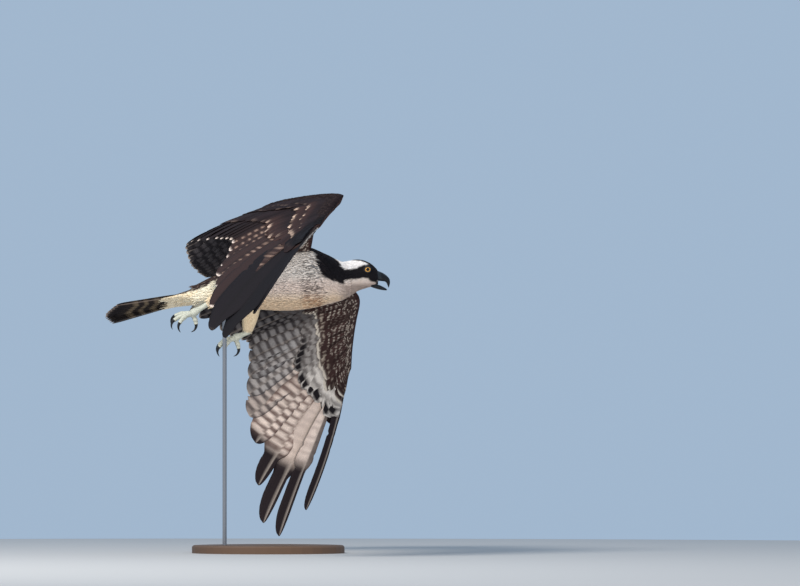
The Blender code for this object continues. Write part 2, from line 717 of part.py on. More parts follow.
def make_claw(name, base, along, side, inward, look):
    """A curved claw that starts a hair beyond the end of its toe."""
    down = np.cross(along, side) * inward
    points, radii = [], []
    here, steps, turn = base + along * GAP, 5, 95.0
    for step in range(steps + 1):
        angle = math.radians(turn * step / steps)
        points.append(here)
        radii.append(0.0031 * (1 - step / steps) ** 0.8 + 0.0004)
        here = here + (along * math.cos(angle) + down * math.sin(angle)) * CLAW_LENGTH / steps
    return finished(limb(name, points, radii, 8, side), look)


# Stand

def make_stand(base_look, rod_look):
    """The flat oval base and the rod that rises to the belly."""
    outline = []
    for height, inset in ((0.0, 0.0), (BASE_THICKNESS - 0.003, 0.0), (BASE_THICKNESS, 0.003)):
        centre = np.array((BASE_AHEAD, BASE_ASIDE, height))
        outline.append(oval(centre, np.array((1.0, 0, 0)), np.array((0, 1.0, 0)), BASE_LENGTH / 2 - inset,
                            BASE_WIDTH / 2 - inset, 40, 2.0))
    base = loft("stand_base", outline, (BASE_AHEAD, BASE_ASIDE, 0.0))
    foot = np.array((ROD_AHEAD, ROD_ASIDE, BASE_THICKNESS + GAP))
    top = np.array((ROD_AHEAD, ROD_ASIDE, SHOULDER_HEIGHT - 0.050))
    rod = limb_upright("stand_rod", foot, top, ROD_RADIUS, 16)
    combine(rod, [whole_body(GAP * 1.6)], "DIFFERENCE")
    return finished(base, base_look), finished(rod, rod_look)


def limb_upright(name, foot, top, radius, count):
    """A round upright rod."""
    rings = [oval(point, np.array((1.0, 0, 0)), np.array((0, 1.0, 0)), radius, radius, count, 2.0)
             for point in (foot, top)]
    return loft(name, rings, foot)


def centred():
    """The whole model moved so that the middle of its box stands over the origin."""
    bpy.context.view_layer.update()
    parts = list(bpy.data.collections[NAME].objects)
    corners = np.array([tuple(part.matrix_world @ vert.co) for part in parts for vert in part.data.vertices])
    low, high = corners.min(axis=0), corners.max(axis=0)
    shift = Vector((-(low[0] + high[0]) / 2, -(low[1] + high[1]) / 2, -low[2]))
    for part in parts:
        part.location += shift


def main():
    """Build the bird and its stand."""
    for old in list(bpy.data.objects):
        bpy.data.objects.remove(old)
    collection = bpy.data.collections.new(NAME)
    bpy.context.scene.collection.children.link(collection)

    white = material("white_feathers", (0.80, 0.74, 0.66), 0.85)
    cream = material("cream_feathers", (0.78, 0.66, 0.50), 0.85)
    brown = material("brown_feathers", (0.07, 0.045, 0.035), 0.75)
    horn = material("black_horn", (0.015, 0.015, 0.018), 0.35)
    scales = material("pale_scales", (0.62, 0.66, 0.60), 0.55)
    iris = material("yellow_eye", (0.75, 0.42, 0.05), 0.12)
    wood = material("stand_wood", (0.10, 0.06, 0.035), 0.45)
    steel = material("stand_steel", (0.35, 0.35, 0.36), 0.35, 1.0)

    torso = body_length("torso", 0.0, NECK_AT - GAP / 2, TRUNK_RINGS)
    finished(torso, white)
    neck = body_length("neck", NECK_AT + GAP / 2, SKULL_AT - GAP / 2, NECK_RINGS)
    finished(neck, white)
    make_head(white)
    make_bill("bill_upper", BILL_UPPER, horn, nostrils=True)
    make_bill("bill_lower", BILL_LOWER, horn)
    for side in (-1, 1):
        make_eye(side, iris)
    for side in ("left", "right"):
        make_wing(side, brown)
        make_leg(side, cream, scales, horn)
    make_tail(brown)
    make_stand(wood, steel)
    centred()


main()
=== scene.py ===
"""Osprey in banked flight on a display stand: skin, feathers and looks over the solids."""
import math

import bpy
import numpy as np
from mathutils import Matrix, Vector


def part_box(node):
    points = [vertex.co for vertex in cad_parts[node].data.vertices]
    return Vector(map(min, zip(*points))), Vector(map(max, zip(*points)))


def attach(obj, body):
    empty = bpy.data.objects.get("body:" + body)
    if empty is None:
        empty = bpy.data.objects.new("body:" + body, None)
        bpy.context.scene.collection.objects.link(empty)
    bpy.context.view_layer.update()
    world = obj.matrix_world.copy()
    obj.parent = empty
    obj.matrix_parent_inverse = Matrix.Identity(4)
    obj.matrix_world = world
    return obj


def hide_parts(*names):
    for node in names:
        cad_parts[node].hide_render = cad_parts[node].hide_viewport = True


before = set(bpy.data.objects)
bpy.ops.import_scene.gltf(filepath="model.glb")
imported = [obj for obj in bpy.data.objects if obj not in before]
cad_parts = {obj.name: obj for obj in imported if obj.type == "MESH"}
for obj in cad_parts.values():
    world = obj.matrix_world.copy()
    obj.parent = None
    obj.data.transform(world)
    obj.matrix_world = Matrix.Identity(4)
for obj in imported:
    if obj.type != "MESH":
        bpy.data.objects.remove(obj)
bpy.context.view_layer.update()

RANDOM = np.random.default_rng(7)
TURN = 2 * math.pi

# Attitude of the body and of the head, in degrees, and the middle of the shoulders
YAW, PITCH, BANK = -4.1, 9.6, 23.8
HEAD_YAW, HEAD_PITCH, HEAD_BANK = -1.0, 0.5, 5.0
ROD_AHEAD, ROD_ASIDE, SHOULDER_HEIGHT = -0.168, 0.0, 0.553
rod_low, rod_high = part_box("stand_rod")
CENTRE = np.array(((rod_low[0] + rod_high[0]) / 2 - ROD_AHEAD, (rod_low[1] + rod_high[1]) / 2 - ROD_ASIDE,
                   SHOULDER_HEIGHT))

# Trunk stations: ahead of the shoulders, rise, half width, half height
TRUNK = [(-0.226, -0.029, 0.0235, 0.02), (-0.2, -0.0275, 0.0325, 0.0265), (-0.163, -0.026, 0.043, 0.034),
         (-0.115, -0.028, 0.054, 0.044), (-0.075, -0.029, 0.0605, 0.0525),
         (-0.035, -0.0295, 0.0625, 0.057), (0.0, -0.0315, 0.058, 0.0555), (0.028, -0.0395, 0.047, 0.046)]
HEAD_AHEAD, HEAD_RISE = 0.0835, -0.0435
HEAD = [(-0.0306, -0.0102, 0.034, 0.0366), (-0.0173, -0.0055, 0.029, 0.0342),
        (-0.0021, 0.0002, 0.0252, 0.0299), (0.0131, 0.0012, 0.0222, 0.0258),
        (0.0245, -0.0005, 0.0178, 0.0212), (0.0321, -0.0031, 0.0132, 0.0167),
        (0.0372, -0.0052, 0.0085, 0.0118)]
SQUARENESS = 2.2
EYE_AHEAD, EYE_RISE, EYE_OUT, EYE_RADIUS = 0.016, 0.0093, 0.0148, 0.0085
BILL_UPPER = [(0.029, 0.01, 0.028, -0.0105, 0.0092), (0.0335, 0.009, 0.0325, -0.0108, 0.0086),
              (0.0397, 0.0067, 0.04, -0.0112, 0.0076), (0.0454, 0.004, 0.0455, -0.0118, 0.0065),
              (0.053, -0.0015, 0.05, -0.0129, 0.0049), (0.0578, -0.0075, 0.0524, -0.0155, 0.0034),
              (0.0588, -0.014, 0.0536, -0.0185, 0.0022), (0.0578, -0.0195, 0.0548, -0.0215, 0.0012),
              (0.0562, -0.0243, 0.0558, -0.0244, 0.0003)]
BILL_LOWER = [(0.023, -0.014, 0.019, -0.0205, 0.0088), (0.0285, -0.015, 0.0255, -0.0235, 0.0082),
              (0.035, -0.0175, 0.0335, -0.0262, 0.007), (0.0416, -0.0202, 0.0408, -0.028, 0.0056),
              (0.048, -0.0236, 0.0478, -0.029, 0.0038), (0.053, -0.0268, 0.053, -0.0293, 0.0016)]

# Wing joints in the bird's frame: ahead, out from the midline, rise
SHOULDER = (0.0, 0.036, 0.008)
ELBOW = {"left": (-0.082, 0.15, 0.04), "right": (-0.068, 0.15, 0.04)}
WRIST = {"left": (0.0575, 0.255, 0.0155), "right": (0.095, 0.255, 0.007)}
HAND_BONES = [(0.8, -0.032, 0.043, -0.05), (1.0, -0.047, 0.0925, -0.095)]
HAND_EDGE = [(0.7, -0.0125, 0.021, -0.025), (0.8, -0.0225, 0.0415, -0.045), (0.9, -0.033, 0.069, -0.068),
             (1.0, -0.041, 0.0915, -0.092)]
WRIST_INSET = (-0.01, -0.004, -0.002)
ARM_FRONT = {"left": (0.034, 0.03, -0.004), "right": (0.002, 0.034, 0.012)}
ARM_HOLLOW = {"left": (-0.013, 0.0, 0.01), "right": (-0.016, 0.0, 0.006)}
ELBOW_AT, WRIST_AT = 0.24, 0.6
TIPS = [(0.0, -0.296, -0.205, -0.028), (0.12, -0.306, -0.172, -0.027), (0.24, -0.316, -0.138, -0.022),
        (0.38, -0.312, -0.085, -0.004), (0.5, -0.25, -0.022, -0.034), (0.62, -0.222, -0.004, -0.056),
        (0.7, -0.232, 0.028, -0.1), (0.79, -0.246, 0.084, -0.158), (0.835, -0.246, 0.122, -0.2),
        (0.88, -0.256, 0.18, -0.263), (0.925, -0.258, 0.216, -0.325), (0.965, -0.235, 0.232, -0.355),
        (1.0, -0.174, 0.224, -0.31)]
SECONDARY_PLACES = [0.04 + 0.03 * index for index in range(19)]
PRIMARY_PLACES = [0.62, 0.66, 0.7, 0.745, 0.79, 0.835, 0.88, 0.925, 0.965, 1.0]
NODE_BORDER = 0.6
CAMBER = 0.045
BOWS = [(0.0, 0.0), (0.62, 0.0), (0.88, -0.01), (0.925, -0.015), (0.965, -0.003), (1.0, 0.056)]
LEAD_SHARE, TRAIL_SHARE, LEAD_MOST, TRAIL_MOST = 0.62, 1.05, 0.02, 0.038
FINGERS = {
    0.88: (0.78, 0.02, 0.036, 0.009, 0.024),
    0.925: (0.7, 0.018, 0.034, 0.006, 0.025),
    0.965: (0.6, 0.021, 0.03, 0.005, 0.02),
    1.0: (0.36, 0.005, 0.02, 0.0035, 0.015),
}
FOLDED_FINGERS = {
    0.88: (0.88, 0.026, 0.036, 0.012, 0.026),
    0.925: (0.86, 0.03, 0.034, 0.012, 0.025),
    0.965: (0.84, 0.034, 0.032, 0.01, 0.024),
    1.0: (0.8, 0.005, 0.03, 0.004, 0.018),
}
SHINGLE = 0.0014
THICKNESS = [(0.0, 0.0125), (0.24, 0.0115), (0.45, 0.0095), (0.6, 0.0085), (0.8, 0.0065), (1.0, 0.0045)]
CORE_SHARES = (0.0, 0.1, 0.19, 0.28, 0.36)
CORE_THICKNESS = (1.0, 0.7, 0.4, 0.15, 0.03)
SKIN_DEPTH, EDGE_HALF = -0.0012, 0.0016

TAIL_FEATHERS = 12
TAIL_ROOT = (-0.215, -0.0295)
TAIL_LENGTH, TAIL_DROP = 0.188, 3.7
TAIL_TURN, TAIL_ROLL = 1.5, 0.0
TAIL_HALF_ROOT, TAIL_HALF_END = 0.012, 0.038
TAIL_OUTER_WEB, TAIL_INNER_WEB = 0.006, 0.012
TAIL_NEAR_TAPER = 0.085

LEGS = {
    "right": ((-0.136, -0.02, -0.05), (-0.17, -0.031, -0.0655), (-0.2015, -0.034, -0.081),
              (-0.23, -0.034, -0.0985)),
    "left": ((-0.116, 0.016, -0.062), (-0.119, 0.026, -0.098), (-0.1254, 0.027, -0.134),
             (-0.15, 0.026, -0.145)),
}
TARSUS_RADIUS, TOE_RADIUS, CLAW_LENGTH = 0.005, 0.0046, 0.021
TOES = {
    "right": ((178, -16, -8, 0.034, 36), (180, 6, 4, 0.036, 40), (182, 26, 14, 0.032, 50),
              (20, 0, 50, 0.022, 40)),
    "left": ((200, -26, 4, 0.033, 50), (198, 2, 8, 0.036, 52), (196, 28, 14, 0.032, 54),
             (20, 0, 50, 0.022, 40)),
}


def unit(vector):
    """Vectors at length one."""
    return vector / np.linalg.norm(vector, axis=-1, keepdims=True)


def attitude(yaw, pitch, bank):
    """Rotation whose columns are forward, left and up."""
    turn = Matrix.Rotation(math.radians(yaw), 3, "Z") @ Matrix.Rotation(math.radians(-pitch), 3, "Y")
    return np.array(turn @ Matrix.Rotation(math.radians(-bank), 3, "X"))


BIRD = attitude(YAW, PITCH, BANK)
SKULL = attitude(HEAD_YAW, HEAD_PITCH, HEAD_BANK)
SKULL_CENTRE = CENTRE + BIRD @ np.array((HEAD_AHEAD, 0.0, HEAD_RISE))


def bird(point):
    """Points given in the bird's frame: ahead, left, rise."""
    return CENTRE + np.asarray(point) @ BIRD.T


def skull(point):
    """Points given in the head's frame: ahead, left, rise."""
    return SKULL_CENTRE + np.asarray(point) @ SKULL.T


def srgb(*channels):
    """A colour given by its usual 0 to 255 values, as linear light."""
    values = np.array(channels) / 255.0
    return np.where(values <= 0.04045, values / 12.92, ((values + 0.055) / 1.055) ** 2.4)


def mix(first, second, share):
    """Blend of two colours by shares."""
    share = np.clip(share, 0.0, 1.0)[..., None]
    return first * (1 - share) + second * share


def ramp(value, start, end):
    """Smooth step from 0 at start to 1 at end."""
    share = np.clip((value - start) / (end - start), 0.0, 1.0)
    return share * share * (3 - 2 * share)


def fall(value, start, end):
    """Smooth step from 1 at start to 0 at end."""
    return 1 - ramp(value, start, end)


def coats(base, *layers):
    """A colour under layers of other colours, each with its share."""
    for colour, share in layers:
        base = mix(base, srgb(*colour), share)
    return base


class Curve:
    """Smooth values of a table whose rows start with their place."""

    def __init__(self, keys):
        table = np.array(keys, dtype=float)
        self.spots, self.values = table[:, 0], table[:, 1:]
        self.slopes = np.gradient(self.values, self.spots, axis=0)

    def __call__(self, place):
        place = np.clip(place, self.spots[0], self.spots[-1])
        index = np.clip(np.searchsorted(self.spots, place, side="right") - 1, 0, len(self.spots) - 2)
        span = (self.spots[index + 1] - self.spots[index])[..., None]
        u = (place - self.spots[index])[..., None] / span
        h00, h10 = 2 * u ** 3 - 3 * u ** 2 + 1, u ** 3 - 2 * u ** 2 + u
        h01, h11 = -2 * u ** 3 + 3 * u ** 2, u ** 3 - u ** 2
        return (h00 * self.values[index] + h10 * span * self.slopes[index] + h01 * self.values[index + 1]
                + h11 * span * self.slopes[index + 1])


def noise(points, scale, seed=0):
    """Smooth random field between about -1 and 1."""
    phases = np.random.default_rng(100 + seed)
    total = np.zeros(points.shape[:-1])
    for octave in range(6):
        direction = phases.normal(size=3)
        direction *= scale * (0.7 + 0.35 * octave) / np.linalg.norm(direction)
        total += np.sin(points @ direction * TURN + phases.uniform(0, TURN))
    return total / 3.0


def deep(values):
    """One value per feather, ready to meet the feather's rows and columns."""
    return values[:, None, None]


def travel(points):
    """Distance along a path at each of its points."""
    return np.concatenate(([0], np.cumsum(np.linalg.norm(np.diff(points, axis=0), axis=1))))


# Meshes from arrays

def fill(items, field, values, kind=np.float32):
    """Set one field of all of a mesh's items."""
    items.foreach_set(field, np.ascontiguousarray(values, dtype=kind).ravel())


def dress(name, mesh, tints, look, slot, *nodes, barbs=None):
    """A smooth piece from points, faces and UVs, fixed to the bird in place of the named solids."""
    points, faces, spots = mesh
    corners = faces.shape[1]
    data = bpy.data.meshes.new(name)
    data.vertices.add(len(points))
    fill(data.vertices, "co", points)
    data.loops.add(faces.size)
    fill(data.loops, "vertex_index", faces, np.int32)
    data.polygons.add(len(faces))
    fill(data.polygons, "loop_start", np.arange(0, faces.size, corners), np.int32)
    fill(data.polygons, "loop_total", np.full(len(faces), corners), np.int32)
    fill(data.polygons, "use_smooth", np.full(len(faces), True), bool)
    tint = data.color_attributes.new("Tint", "FLOAT_COLOR", "POINT")
    fill(tint.data, "color", np.column_stack((np.broadcast_to(tints, points.shape), np.ones(len(points)))))
    if barbs is not None:
        fill(data.attributes.new("Barbs", "FLOAT", "POINT").data, "value", barbs)
    fill(data.uv_layers.new(name="OFBake").data, "uv", spots[faces.ravel()])
    data.materials.append(look)
    data.update(calc_edges=True)
    piece = bpy.data.objects.new(name, data)
    bpy.context.scene.collection.objects.link(piece)
    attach(piece, "root")
    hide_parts(*nodes)


def outward(points, faces):
    """Faces of many closed shells, point and face arrays by shell, turned to face out."""
    near = points - points.mean(axis=1, keepdims=True)
    shells = np.arange(len(points))[:, None]
    volume = np.zeros(len(points))
    for step in range(1, faces.shape[1] - 1):
        a, b, c = (near[shells, faces[None, :, spot]] for spot in (0, step, step + 1))
        volume += np.sum(a * np.cross(b, c), axis=(1, 2))
    turned = np.where((volume < 0)[:, None, None], faces[None, :, ::-1], faces[None])
    size = points.shape[1]
    return (turned + (np.arange(len(points)) * size)[:, None, None]).reshape(-1, faces.shape[1])


def grid_faces(rows, columns):
    """Quads of a closed slab whose upper grid comes before its lower grid."""
    cells = np.arange(rows * columns).reshape(rows, columns)
    upper = np.stack([cells[:-1, :-1], cells[:-1, 1:], cells[1:, 1:], cells[1:, :-1]], axis=-1).reshape(-1, 4)
    near = np.concatenate((cells[0], cells[1:, -1], cells[-1, -2::-1], cells[-2:0:-1, 0]))
    far, below = np.roll(near, -1), rows * columns
    rim = np.stack([near, near + below, far + below, far], axis=1)
    return np.concatenate((upper, upper[:, ::-1] + below, rim))


def paired(upper, lower):
    """Values of upper and lower grids, slab by slab."""
    return np.concatenate([side.reshape(len(side), -1, side.shape[-1]) for side in (upper, lower)], axis=1)


def dress_slabs(name, upper, lower, top, low, u, v, look, slot, *nodes, shift=(0.0, 0.0), lines=None):
    """Many closed slabs from upper and lower grids with their tints, UVs and barb places."""
    both = paired(upper, lower)
    spots = np.stack(np.broadcast_arrays(u, v), axis=-1)
    mesh = (both.reshape(-1, 3), outward(both, grid_faces(*upper.shape[1:3])),
            paired(spots, spots + shift).reshape(-1, 2))
    barbs = None if lines is None else paired(lines[..., None], lines[..., None])
    dress(name, mesh, paired(top, low).reshape(-1, 3), look, slot, *nodes, barbs=barbs)


def leaf_faces(rows):
    """Triangles of a thin closed leaf of three columns."""
    faces, last = [], rows * 3 - 3
    for a in range(0, last, 3):
        for b in (a, a + 1):
            faces += [(b, b + 1, b + 4), (b, b + 4, b + 3)]
        faces += [(a + 2, a, a + 3), (a + 2, a + 3, a + 5)]
    return np.array(faces + [(0, 2, 1), (last, last + 1, last + 2)])


def dress_leaves(name, grid, tints, u, v, slot, *nodes):
    """Many leaves, given by leaf, row, three columns and coordinate, with their tints and UVs."""
    shells = grid.reshape(len(grid), -1, 3)
    spots = np.stack(np.broadcast_arrays(u, v), axis=-1).reshape(-1, 2)
    mesh = shells.reshape(-1, 3), outward(shells, leaf_faces(grid.shape[1])), spots
    dress(name, mesh, np.broadcast_to(tints, grid.shape).reshape(-1, 3), FEATHER, slot, *nodes)


def sides(rows, columns):
    """Triangles by ring between each ring of points and the next, the first coming after the last."""
    a = np.arange(rows * columns).reshape(rows, columns)
    b, c = np.roll(a, -1, axis=1), np.roll(a, -1, axis=0)
    d = np.roll(b, -1, axis=0)
    return [np.stack(corners, axis=-1) for corners in ((a, b, d), (a, d, c))]


def ring_spots(rows, columns):
    """UVs of rings of points."""
    u, v = (np.linspace(0.02, 0.98, count) for count in (rows, columns))
    return np.stack(np.meshgrid(u, v, indexing="ij"), axis=-1).reshape(-1, 2)


def hoop(rings):
    """Points, triangles and UVs of a tube that closes on itself."""
    points = rings.reshape(-1, 3)
    faces = np.concatenate([part.reshape(-1, 3) for part in sides(*rings.shape[:2])])
    return points, outward(points[None], faces), ring_spots(*rings.shape[:2])


def closed_tube(rings):
    """Points, triangles and UVs of a tube through rings of equal counts, closed at both ends."""
    rows, columns = rings.shape[:2]
    points = np.concatenate((rings.reshape(-1, 3), [rings[0].mean(axis=0)], [rings[-1].mean(axis=0)]))
    step, size = np.arange(columns), rows * columns
    after, end = np.roll(step, -1), size - columns
    faces = [part[:-1].reshape(-1, 3) for part in sides(rows, columns)]
    faces += [np.stack([np.full(columns, size), after, step], axis=1),
              np.stack([np.full(columns, size + 1), end + step, end + after], axis=1)]
    spots = np.concatenate((ring_spots(rows, columns), [(0.01, 0.5), (0.99, 0.5)]))
    return points, outward(points[None], np.concatenate(faces)), spots


def joined(tubes):
    """Several closed tubes as one mesh, each with a strip of the UV map."""
    meshes = [closed_tube(rings) for rings in tubes]
    starts = np.cumsum([0] + [len(points) for points, _, _ in meshes])
    parts = [(points, faces + start, spots * (1.0, 0.18) + (0.0, 0.2 * index))
             for index, ((points, faces, spots), start) in enumerate(zip(meshes, starts))]
    return [np.concatenate(part) for part in zip(*parts)]


# Materials

def add_node(tree, kind, **inputs):
    """A new shader node with some of its inputs set."""
    made = tree.nodes.new("ShaderNode" + kind)
    for name, value in inputs.items():
        made.inputs[name.replace("_", " ")].default_value = value
    return made


def principled(name, roughness, specular, coat=0.0, barbed=False):
    """A Principled material coloured by the mesh's own tint, with the fine lines of barbs."""
    made = bpy.data.materials.new(name)
    made.use_nodes = True
    tree = made.node_tree
    link = tree.links.new
    shader = tree.nodes["Principled BSDF"]
    for label, value in (("Roughness", roughness), ("Coat Weight", coat), ("Specular IOR Level", specular)):
        shader.inputs[label].default_value = value
    tint = add_node(tree, "Attribute")
    tint.attribute_name = "Tint"
    grain = add_node(tree, "TexNoise", Scale=GRAIN_SCALE, Detail=2.0)
    link(add_node(tree, "TexCoord").outputs["Object"], grain.inputs["Vector"])
    height = grain.outputs["Fac"]
    if barbed:
        lines = add_node(tree, "Attribute")
        lines.attribute_name = "Barbs"
        turns, wave, part = (add_node(tree, "Math") for _ in range(3))
        turns.operation, wave.operation, part.operation = "MULTIPLY", "SINE", "MULTIPLY_ADD"
        turns.inputs[1].default_value = TURN / BARB_PITCH
        part.inputs[1].default_value = BARB_DEPTH
        link(lines.outputs["Fac"], turns.inputs[0])
        link(turns.outputs["Value"], wave.inputs[0])
        link(wave.outputs["Value"], part.inputs[0])
        link(height, part.inputs[2])
        height = part.outputs["Value"]
    spread = add_node(tree, "MapRange", From_Min=0.3, From_Max=0.7, To_Min=0.8, To_Max=1.12)
    link(height, spread.inputs["Value"])
    product = add_node(tree, "VectorMath")
    product.operation = "SCALE"
    link(tint.outputs["Color"], product.inputs[0])
    link(spread.outputs["Result"], product.inputs["Scale"])
    link(product.outputs["Vector"], shader.inputs["Base Color"])
    bump = add_node(tree, "Bump", Strength=0.5, Distance=0.0005)
    link(height, bump.inputs["Height"])
    link(bump.outputs["Normal"], shader.inputs["Normal"])
    return made


def plain(name, colour, roughness):
    """A plain Principled material."""
    made = bpy.data.materials.new(name)
    made.use_nodes = True
    shader = made.node_tree.nodes["Principled BSDF"]
    shader.inputs["Base Color"].default_value = (*colour, 1.0)
    shader.inputs["Roughness"].default_value = roughness
    return made


GRAIN_SCALE = 700.0
BARB_PITCH, BARB_DEPTH = 0.0013, 0.16
FEATHER = principled("feather", 0.85, 0.12)
VANE = principled("vane", 0.75, 0.12, barbed=True)
SKIN = principled("skin", 0.85, 0.2)
HORN = principled("horn", 0.36, 0.35, coat=0.1)
SCALES = principled("scales", 0.55, 0.35)
EYE = principled("eye", 0.06, 0.3, coat=0.4)


class Wing:
    """The surface of one wing: a place along it, and a share of the way to the feather tips."""

    def __init__(self, side):
        self.side = side
        self.sign = 1 if side == "left" else -1
        wrist, front = np.array(WRIST[side]), np.array(ARM_FRONT[side])
        hollow = (front + wrist) / 2 + np.array(ARM_HOLLOW[side])
        bones = [(0.0, *SHOULDER), (ELBOW_AT, *ELBOW[side]), (WRIST_AT, *(wrist + WRIST_INSET))]
        edges = [(0.0, *front), (WRIST_AT / 2, *hollow), (WRIST_AT, *wrist)]
        hand_bones, hand_edge, tips = ([(place, *(wrist + np.array(offset))) for place, *offset in table]
                                       for table in (HAND_BONES, HAND_EDGE, TIPS))
        self.bones, self.edges, self.tips = Curve(bones + hand_bones), Curve(edges + hand_edge), Curve(tips)
        self.bows, self.thick = Curve(BOWS), Curve(THICKNESS)

    def local(self, place, share):
        """Points of the surface before their camber."""
        share = share[..., None]
        return self.bones(place) * (1 - share) + self.tips(place) * share

    def frame(self, place, share):
        """Outboard and dorsal directions, the spacing per unit of place and the feather's length."""
        step = 0.004
        near, far = np.maximum(place - step, 0.0), np.minimum(place + step, 1.0)
        along = (self.local(far, share) - self.local(near, share)) / (far - near)[..., None]
        shaft = self.tips(place) - self.bones(place)
        reach = np.linalg.norm(shaft, axis=-1)
        shaft = shaft / reach[..., None]
        outboard = along - shaft * np.sum(along * shaft, axis=-1, keepdims=True)
        spacing = np.linalg.norm(outboard, axis=-1)
        outboard = outboard / spacing[..., None]
        return outboard, np.cross(outboard, shaft), spacing, reach

    def point(self, place, share, aside=0.0, above=0.0):
        """Points of the cambered surface, moved outboard and dorsally, in the wing's frame."""
        outboard, dorsal, _, reach = self.frame(place, share)
        bow = 4 * share * (1 - share) * reach
        return (self.local(place, share) + dorsal * (CAMBER * bow + above)[..., None]
                + outboard * (self.bows(place)[..., 0] * bow + aside)[..., None])

    def cover(self, place, back, face, above):
        """Points over the upper (1) or lower (-1) side, back metres behind the leading edge."""
        zero = np.zeros_like(place)
        edge, bone = self.edges(place), self.point(place, zero)
        lead = np.linalg.norm(bone - edge, axis=-1)
        _, fore, _, reach = self.frame(place, zero)
        share = np.clip((back - lead) / reach, 0.0, 1.0)
        thick = self.thick(place)[..., 0]
        part = np.clip(back / lead, -0.05, 1.0)
        front_high = EDGE_HALF + (thick - EDGE_HALF) * np.clip(part, 0, 1) ** 0.8
        rear_high = np.maximum(thick * np.interp(share, CORE_SHARES, CORE_THICKNESS), 0.0006)
        ahead = back < lead
        high = np.where(ahead, front_high, rear_high) * (1.0 if face > 0 else 0.8)
        base = np.where(ahead[..., None], edge * (1 - part)[..., None] + bone * part[..., None],
                        self.point(place, share))
        dorsal = np.where(ahead[..., None], fore, self.frame(place, share)[1])
        return base + dorsal * (face * (high + above))[..., None]

    def lead(self, place):
        """Distance from the leading edge back to the bones, and on to the feather tips."""
        zero = np.zeros_like(place)
        bone = self.point(place, zero)
        return (np.linalg.norm(bone - self.edges(place), axis=-1),
                np.linalg.norm(self.tips(place) - self.bones(place), axis=-1))

    def world(self, point):
        """The points in the model's frame."""
        return bird(point * np.array((1.0, self.sign, 1.0)))

    def fixed(self):
        """Slot and solids of the wing's pieces."""
        return "brown_feathers", "wing_%s_arm" % self.side, "wing_%s_hand" % self.side


# Markings of the wings, with painted shade under the inner wing

def upper_covert_colour(place, share, along, across, chance):
    """Colour of the coverts over the wing: chocolate with tan tips, charcoal on the hand's leading side."""
    hand = ramp(place, 0.84, 0.94)
    rows = ramp(place, 0.58, 0.62) * (1 - hand) * ramp(share, 0.07, 0.2)
    base = mix(srgb(35, 26, 28), srgb(23, 21, 25), hand) * (0.75 + 0.45 * chance)[..., None]
    tip = ramp(along, 0.82, 0.93) * (0.1 * (1 - hand) + 0.85 * rows) * np.clip(2.4 * chance - 1.0, 0, 1)
    out = coats(base, ((60, 42, 39), ramp(along, 0.35, 0.8) * rows * 0.8), ((196, 170, 152), tip))
    return mix(out, base * 0.6, fall(np.abs(across), 0.05, 0.25) * 0.45)


def under_covert_colour(place, share, along, across, chance):
    """Colour of the small coverts under the wing: maroon brown mottled with white."""
    dark = srgb(60, 42, 40) * (0.6 + 0.7 * chance)[..., None]
    return coats(dark, ((196, 184, 172), ramp(along, 0.7, 0.92) * np.where(chance > 0.66, 0.8, 0.08)))


def greater_under_colour(place, share, along, across, chance):
    """Colour of the long coverts under the wing: barred white, dark ends on the hand, dusky on the arm."""
    bars = ramp(np.sin((along * 5.0 + chance) * TURN + 2.0 * across), 0.0, 0.5)
    ends = ramp(along, 0.82 - 0.08 * chance, 0.86 - 0.08 * chance) * ramp(place, 0.62, 0.7)
    ends = ends * (1 - ramp(along, 0.955, 0.985) * 0.8) * fall(np.abs(across), 0.4, 0.68)
    return coats(srgb(88, 84, 84), ((150, 144, 140), ramp(place, 0.56, 0.68)),
                 ((214, 206, 198), ramp(place, 0.76, 0.84)),
                 ((70, 62, 60), bars * (0.8 - 0.25 * ramp(place, 0.7, 0.9))),
                 ((30, 26, 28), ends * np.where(chance > 0.12, 1.0, 0.3)))


def middle_under_colour(place, share, along, across, chance):
    """Colour of the middle coverts under the wing: maroon brown with cream ends in a line."""
    dark = srgb(56, 40, 38) * (0.7 + 0.5 * chance)[..., None]
    spots = ramp(np.sin((along * 3.0 + chance * 2.0) * TURN), 0.45, 0.8) * ramp(np.abs(across), 0.1, 0.5)
    return coats(dark, ((190, 176, 160), spots * np.where(chance > 0.35, 0.75, 0.15)),
                 ((214, 204, 190), ramp(along, 0.88, 0.95) * ramp(place, 0.5, 0.58) * 0.9))


def spotted_under_colour(place, share, along, across, chance):
    """Colour of the third tier under the wing: maroon brown with scattered pale spots."""
    dark = srgb(58, 41, 39) * (0.6 + 0.7 * chance)[..., None]
    spots = ramp(np.sin((along * 4.5 + chance * 3.0) * TURN), 0.35, 0.8) * ramp(np.abs(across), 0.1, 0.5)
    return coats(dark, ((206, 194, 180), spots * np.where(chance > 0.3, 0.85, 0.2)))


BAR_PITCH = 0.017
DARK_STARTS = Curve([(0.0, 1.3), (0.8, 1.2), (0.835, 0.93), (0.88, 0.77), (0.925, 0.66), (0.965, 0.59),
                     (1.0, 0.25)])


def upper_remex_colour(place, share, beyond, across, chance):
    """Colour of the flight feathers from above: dark, the inner ones of the hand with tan edges and marks."""
    base = mix(srgb(34, 26, 28), srgb(22, 20, 24), ramp(place, 0.84, 0.95)) * (0.85 + 0.3 * chance)[..., None]
    rows = ramp(place, 0.59, 0.63) * fall(place, 0.86, 0.92) * ramp(share, 0.25, 0.35)
    wave = np.sin((beyond / 0.014 + chance * 3.0) * TURN)
    marks = ramp(wave, 0.2, 0.9) * ramp(across, -0.1, 0.5) * fall(across, 0.8, 1.0)
    tip = fall(beyond, 0.0025, 0.006) * fall(place, 0.88, 0.93) * ramp(place, 0.3, 0.45)
    return coats(base, ((66, 48, 44), rows * 0.5), ((168, 140, 124), rows * marks * 0.7),
                 ((222, 204, 192), tip), ((22, 20, 22), fall(np.abs(across), 0.02, 0.12) * 0.6))


